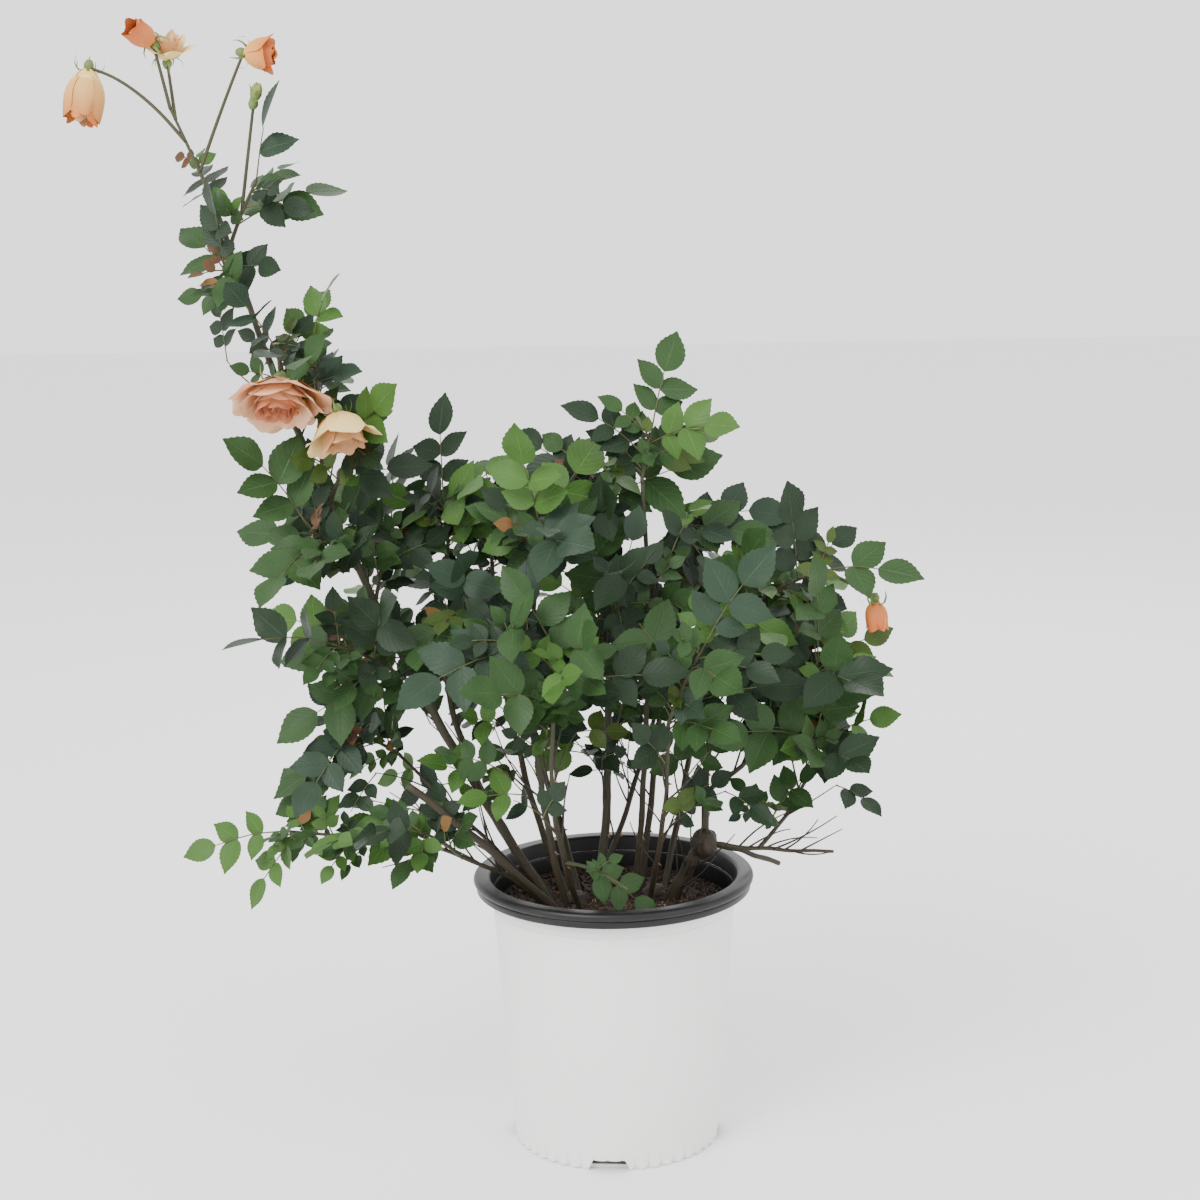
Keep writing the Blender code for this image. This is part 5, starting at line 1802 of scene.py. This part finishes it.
def build_mix():
    """The top of the mix, out to the wall."""
    edge = wall_radius(SOIL_TOP) - MIX_EDGE
    verts = [Vector((0, 0, mix_height(Vector((0, 0)))))]
    for i in range(1, MIX_RINGS + 1):
        for k in range(MIX_TURN):
            turn = math.tau * k / MIX_TURN
            place = Vector((math.cos(turn), math.sin(turn))) * edge * i / MIX_RINGS
            verts.append(Vector((place.x, place.y, mix_height(place))))
    faces = [(0, 1 + k, 1 + (k + 1) % MIX_TURN) for k in range(MIX_TURN)]
    for i in range(MIX_RINGS - 1):
        for k in range(MIX_TURN):
            a, b = 1 + i * MIX_TURN + k, 1 + i * MIX_TURN + (k + 1) % MIX_TURN
            faces.append((a, a + MIX_TURN, b + MIX_TURN, b))
    rim = 1 + (MIX_RINGS - 1) * MIX_TURN
    base = len(verts)
    verts += [Vector((v.x, v.y, SOIL_TOP - MIX_SIDE)) for v in verts[-MIX_TURN:]]
    for k in range(MIX_TURN):
        n = (k + 1) % MIX_TURN
        faces.append((rim + k, base + k, base + n, rim + n))
    faces.append(tuple(base + k for k in reversed(range(MIX_TURN))))
    return make_piece("mix_surface", verts, faces, [(0, 0)] * len(verts), mix_paint.material)


mix = build_mix()
set_on(mix, "potting_mix", "potting_mix")
print("mix surface:", len(mix.data.polygons), "faces")

# %% A node tree that scatters chips
CHIP_TURN = ((0, 0, 0), (math.tau, math.tau, math.tau))
CHIP_SCALE = ((0.3, 0.2, 0.15), (1.6, 0.9, 0.5))


def scatter_tree(name, material):
    """A tree that scatters a chip over a surface: inputs for how many, how large, and the seed."""
    tree = bpy.data.node_groups.new(name, "GeometryNodeTree")
    face = tree.interface
    face.new_socket("Geometry", in_out="INPUT", socket_type="NodeSocketGeometry")
    count = face.new_socket("Chips per square metre", in_out="INPUT", socket_type="NodeSocketFloat")
    size = face.new_socket("Chip size", in_out="INPUT", socket_type="NodeSocketFloat")
    seed = face.new_socket("Seed", in_out="INPUT", socket_type="NodeSocketInt")
    face.new_socket("Geometry", in_out="OUTPUT", socket_type="NodeSocketGeometry")

    def add(kind, **links):
        made = tree.nodes.new(kind)
        for key, value in links.items():
            socket = made.inputs[key.replace("_", " ")]
            if hasattr(value, "is_output"):
                tree.links.new(value, socket)
            else:
                socket.default_value = value
        return made

    def chance(low, high):
        made = tree.nodes.new("FunctionNodeRandomValue")
        made.data_type = "FLOAT_VECTOR"
        made.inputs[0].default_value = low
        made.inputs[1].default_value = high
        tree.links.new(given[3], made.inputs["Seed"])
        return made.outputs[0]

    given = tree.nodes.new("NodeGroupInput").outputs
    points = add("GeometryNodeDistributePointsOnFaces", Mesh=given[0], Density=given[1], Seed=given[3])
    chip = add("GeometryNodeMeshIcoSphere", Radius=given[2], Subdivisions=1)
    spread = add("GeometryNodeInstanceOnPoints", Points=points.outputs[0], Instance=chip.outputs[0],
                 Rotation=chance(*CHIP_TURN), Scale=chance(*CHIP_SCALE))
    real = add("GeometryNodeRealizeInstances", Geometry=spread.outputs[0])
    painted = add("GeometryNodeSetMaterial", Geometry=real.outputs[0], Material=material)
    tree.links.new(painted.outputs[0], tree.nodes.new("NodeGroupOutput").inputs[0])
    return tree, {"count": count.identifier, "size": size.identifier, "seed": seed.identifier}


# %% The chips
CHIP_EDGE = 0.0065            # how far inside the outer wall the chips end, in metres


def scatter(name, material, count, size, seed):
    """Chips over the mix as a plain mesh."""
    tree, sockets = scatter_tree(name + "_tree", material)
    piece = add_object(name, mix.data.copy())
    bm = bmesh.new()
    bm.from_mesh(piece.data)
    edge = wall_radius(SOIL_TOP) - CHIP_EDGE
    hidden = [face for face in bm.faces
              if face.normal.z < 0.3 or face.calc_center_median().xy.length > edge]
    bmesh.ops.delete(bm, geom=hidden, context="FACES")
    bm.to_mesh(piece.data)
    bm.free()
    modifier = piece.modifiers.new("scatter", "NODES")
    modifier.node_group = tree
    modifier[sockets["count"]] = float(count)
    modifier[sockets["size"]] = float(size)
    modifier[sockets["seed"]] = seed
    settle(piece)
    set_on(piece, "potting_mix")
    print(name, len(piece.data.polygons), "faces")


chip_dark = Paint("bark_chip", roughness=0.9).colour(tint(44, 32, 25)).material
chip_pale = Paint("pale_chip", roughness=0.9).colour(tint(150, 122, 90)).material
chip_brown = Paint("brown_chip", roughness=0.9).colour(tint(84, 60, 42)).material
scatter("dark_chips", chip_dark, 42000, 0.0028, 3)
scatter("brown_chips", chip_brown, 12000, 0.0030, 8)
scatter("pale_chips", chip_pale, 1500, 0.0022, 5)

# %% [markdown]
# ## The studio
#
# The photograph looks slightly down on the plant from the front, against white.  The camera stands
# where the two ellipses of the pot put it, on a pale floor under soft even light.

# %% Camera
VIEW_DISTANCE = 2.1
VIEW_RISE = 0.19168749        # radians above the level
VIEW_ROLL = -0.01653699       # radians
VIEW_TARGET = Vector((-0.00780533, 0.0, 0.48459146))
FOCAL_PIXELS = 2438.976
IMAGE_PIXELS = 1200
SENSOR = 36.0

back = Vector((0, -math.cos(VIEW_RISE), math.sin(VIEW_RISE)))
level_up = Vector((0, math.sin(VIEW_RISE), math.cos(VIEW_RISE)))
right = Vector((math.cos(VIEW_ROLL), 0, 0)) + level_up * math.sin(VIEW_ROLL)
up = level_up * math.cos(VIEW_ROLL) - Vector((math.sin(VIEW_ROLL), 0, 0))
lens = bpy.data.cameras.new("view")
lens.sensor_width = SENSOR
lens.lens = FOCAL_PIXELS / IMAGE_PIXELS * SENSOR
camera = add_object("view", lens)
axes = Matrix((right, up, back)).transposed().to_4x4()
camera.matrix_world = Matrix.Translation(VIEW_TARGET + back * VIEW_DISTANCE) @ axes
bpy.context.scene.camera = camera
print("camera at", [round(v, 3) for v in camera.location])

# %% Floor and light
FLOOR_REACH = 8.0
SKY_STRENGTH = 1.9
LAMP_SIZE = 1.6

floor_paint = Paint("pale_floor", roughness=0.9).colour((0.90, 0.90, 0.90)).material
corners = [(0, 0), (1, 0), (1, 1), (0, 1)]
floor = make_piece("floor", [((x * 2 - 1) * FLOOR_REACH, (y * 2 - 1) * FLOOR_REACH, 0) for x, y in corners],
                   [(0, 1, 2, 3)], corners, floor_paint)
world = bpy.data.worlds.new("studio")
world.use_nodes = True
world.node_tree.nodes["Background"].inputs["Color"].default_value = (1.0, 1.0, 1.0, 1.0)
world.node_tree.nodes["Background"].inputs["Strength"].default_value = SKY_STRENGTH
bpy.context.scene.world = world


def softbox(name, place, power):
    """A large soft lamp that looks at the middle of the plant."""
    lamp = bpy.data.lights.new(name, "AREA")
    lamp.size = LAMP_SIZE
    lamp.energy = power
    made = add_object(name, lamp)
    made.location = place
    made.rotation_euler = (VIEW_TARGET - Vector(place)).to_track_quat("-Z", "Y").to_euler()


softbox("key", (-1.6, -2.2, 2.6), 110)
softbox("fill", (2.2, -1.6, 1.4), 18)
softbox("behind", (0.6, 2.2, 2.0), 25)
print(len(bpy.data.lights), "lamps")
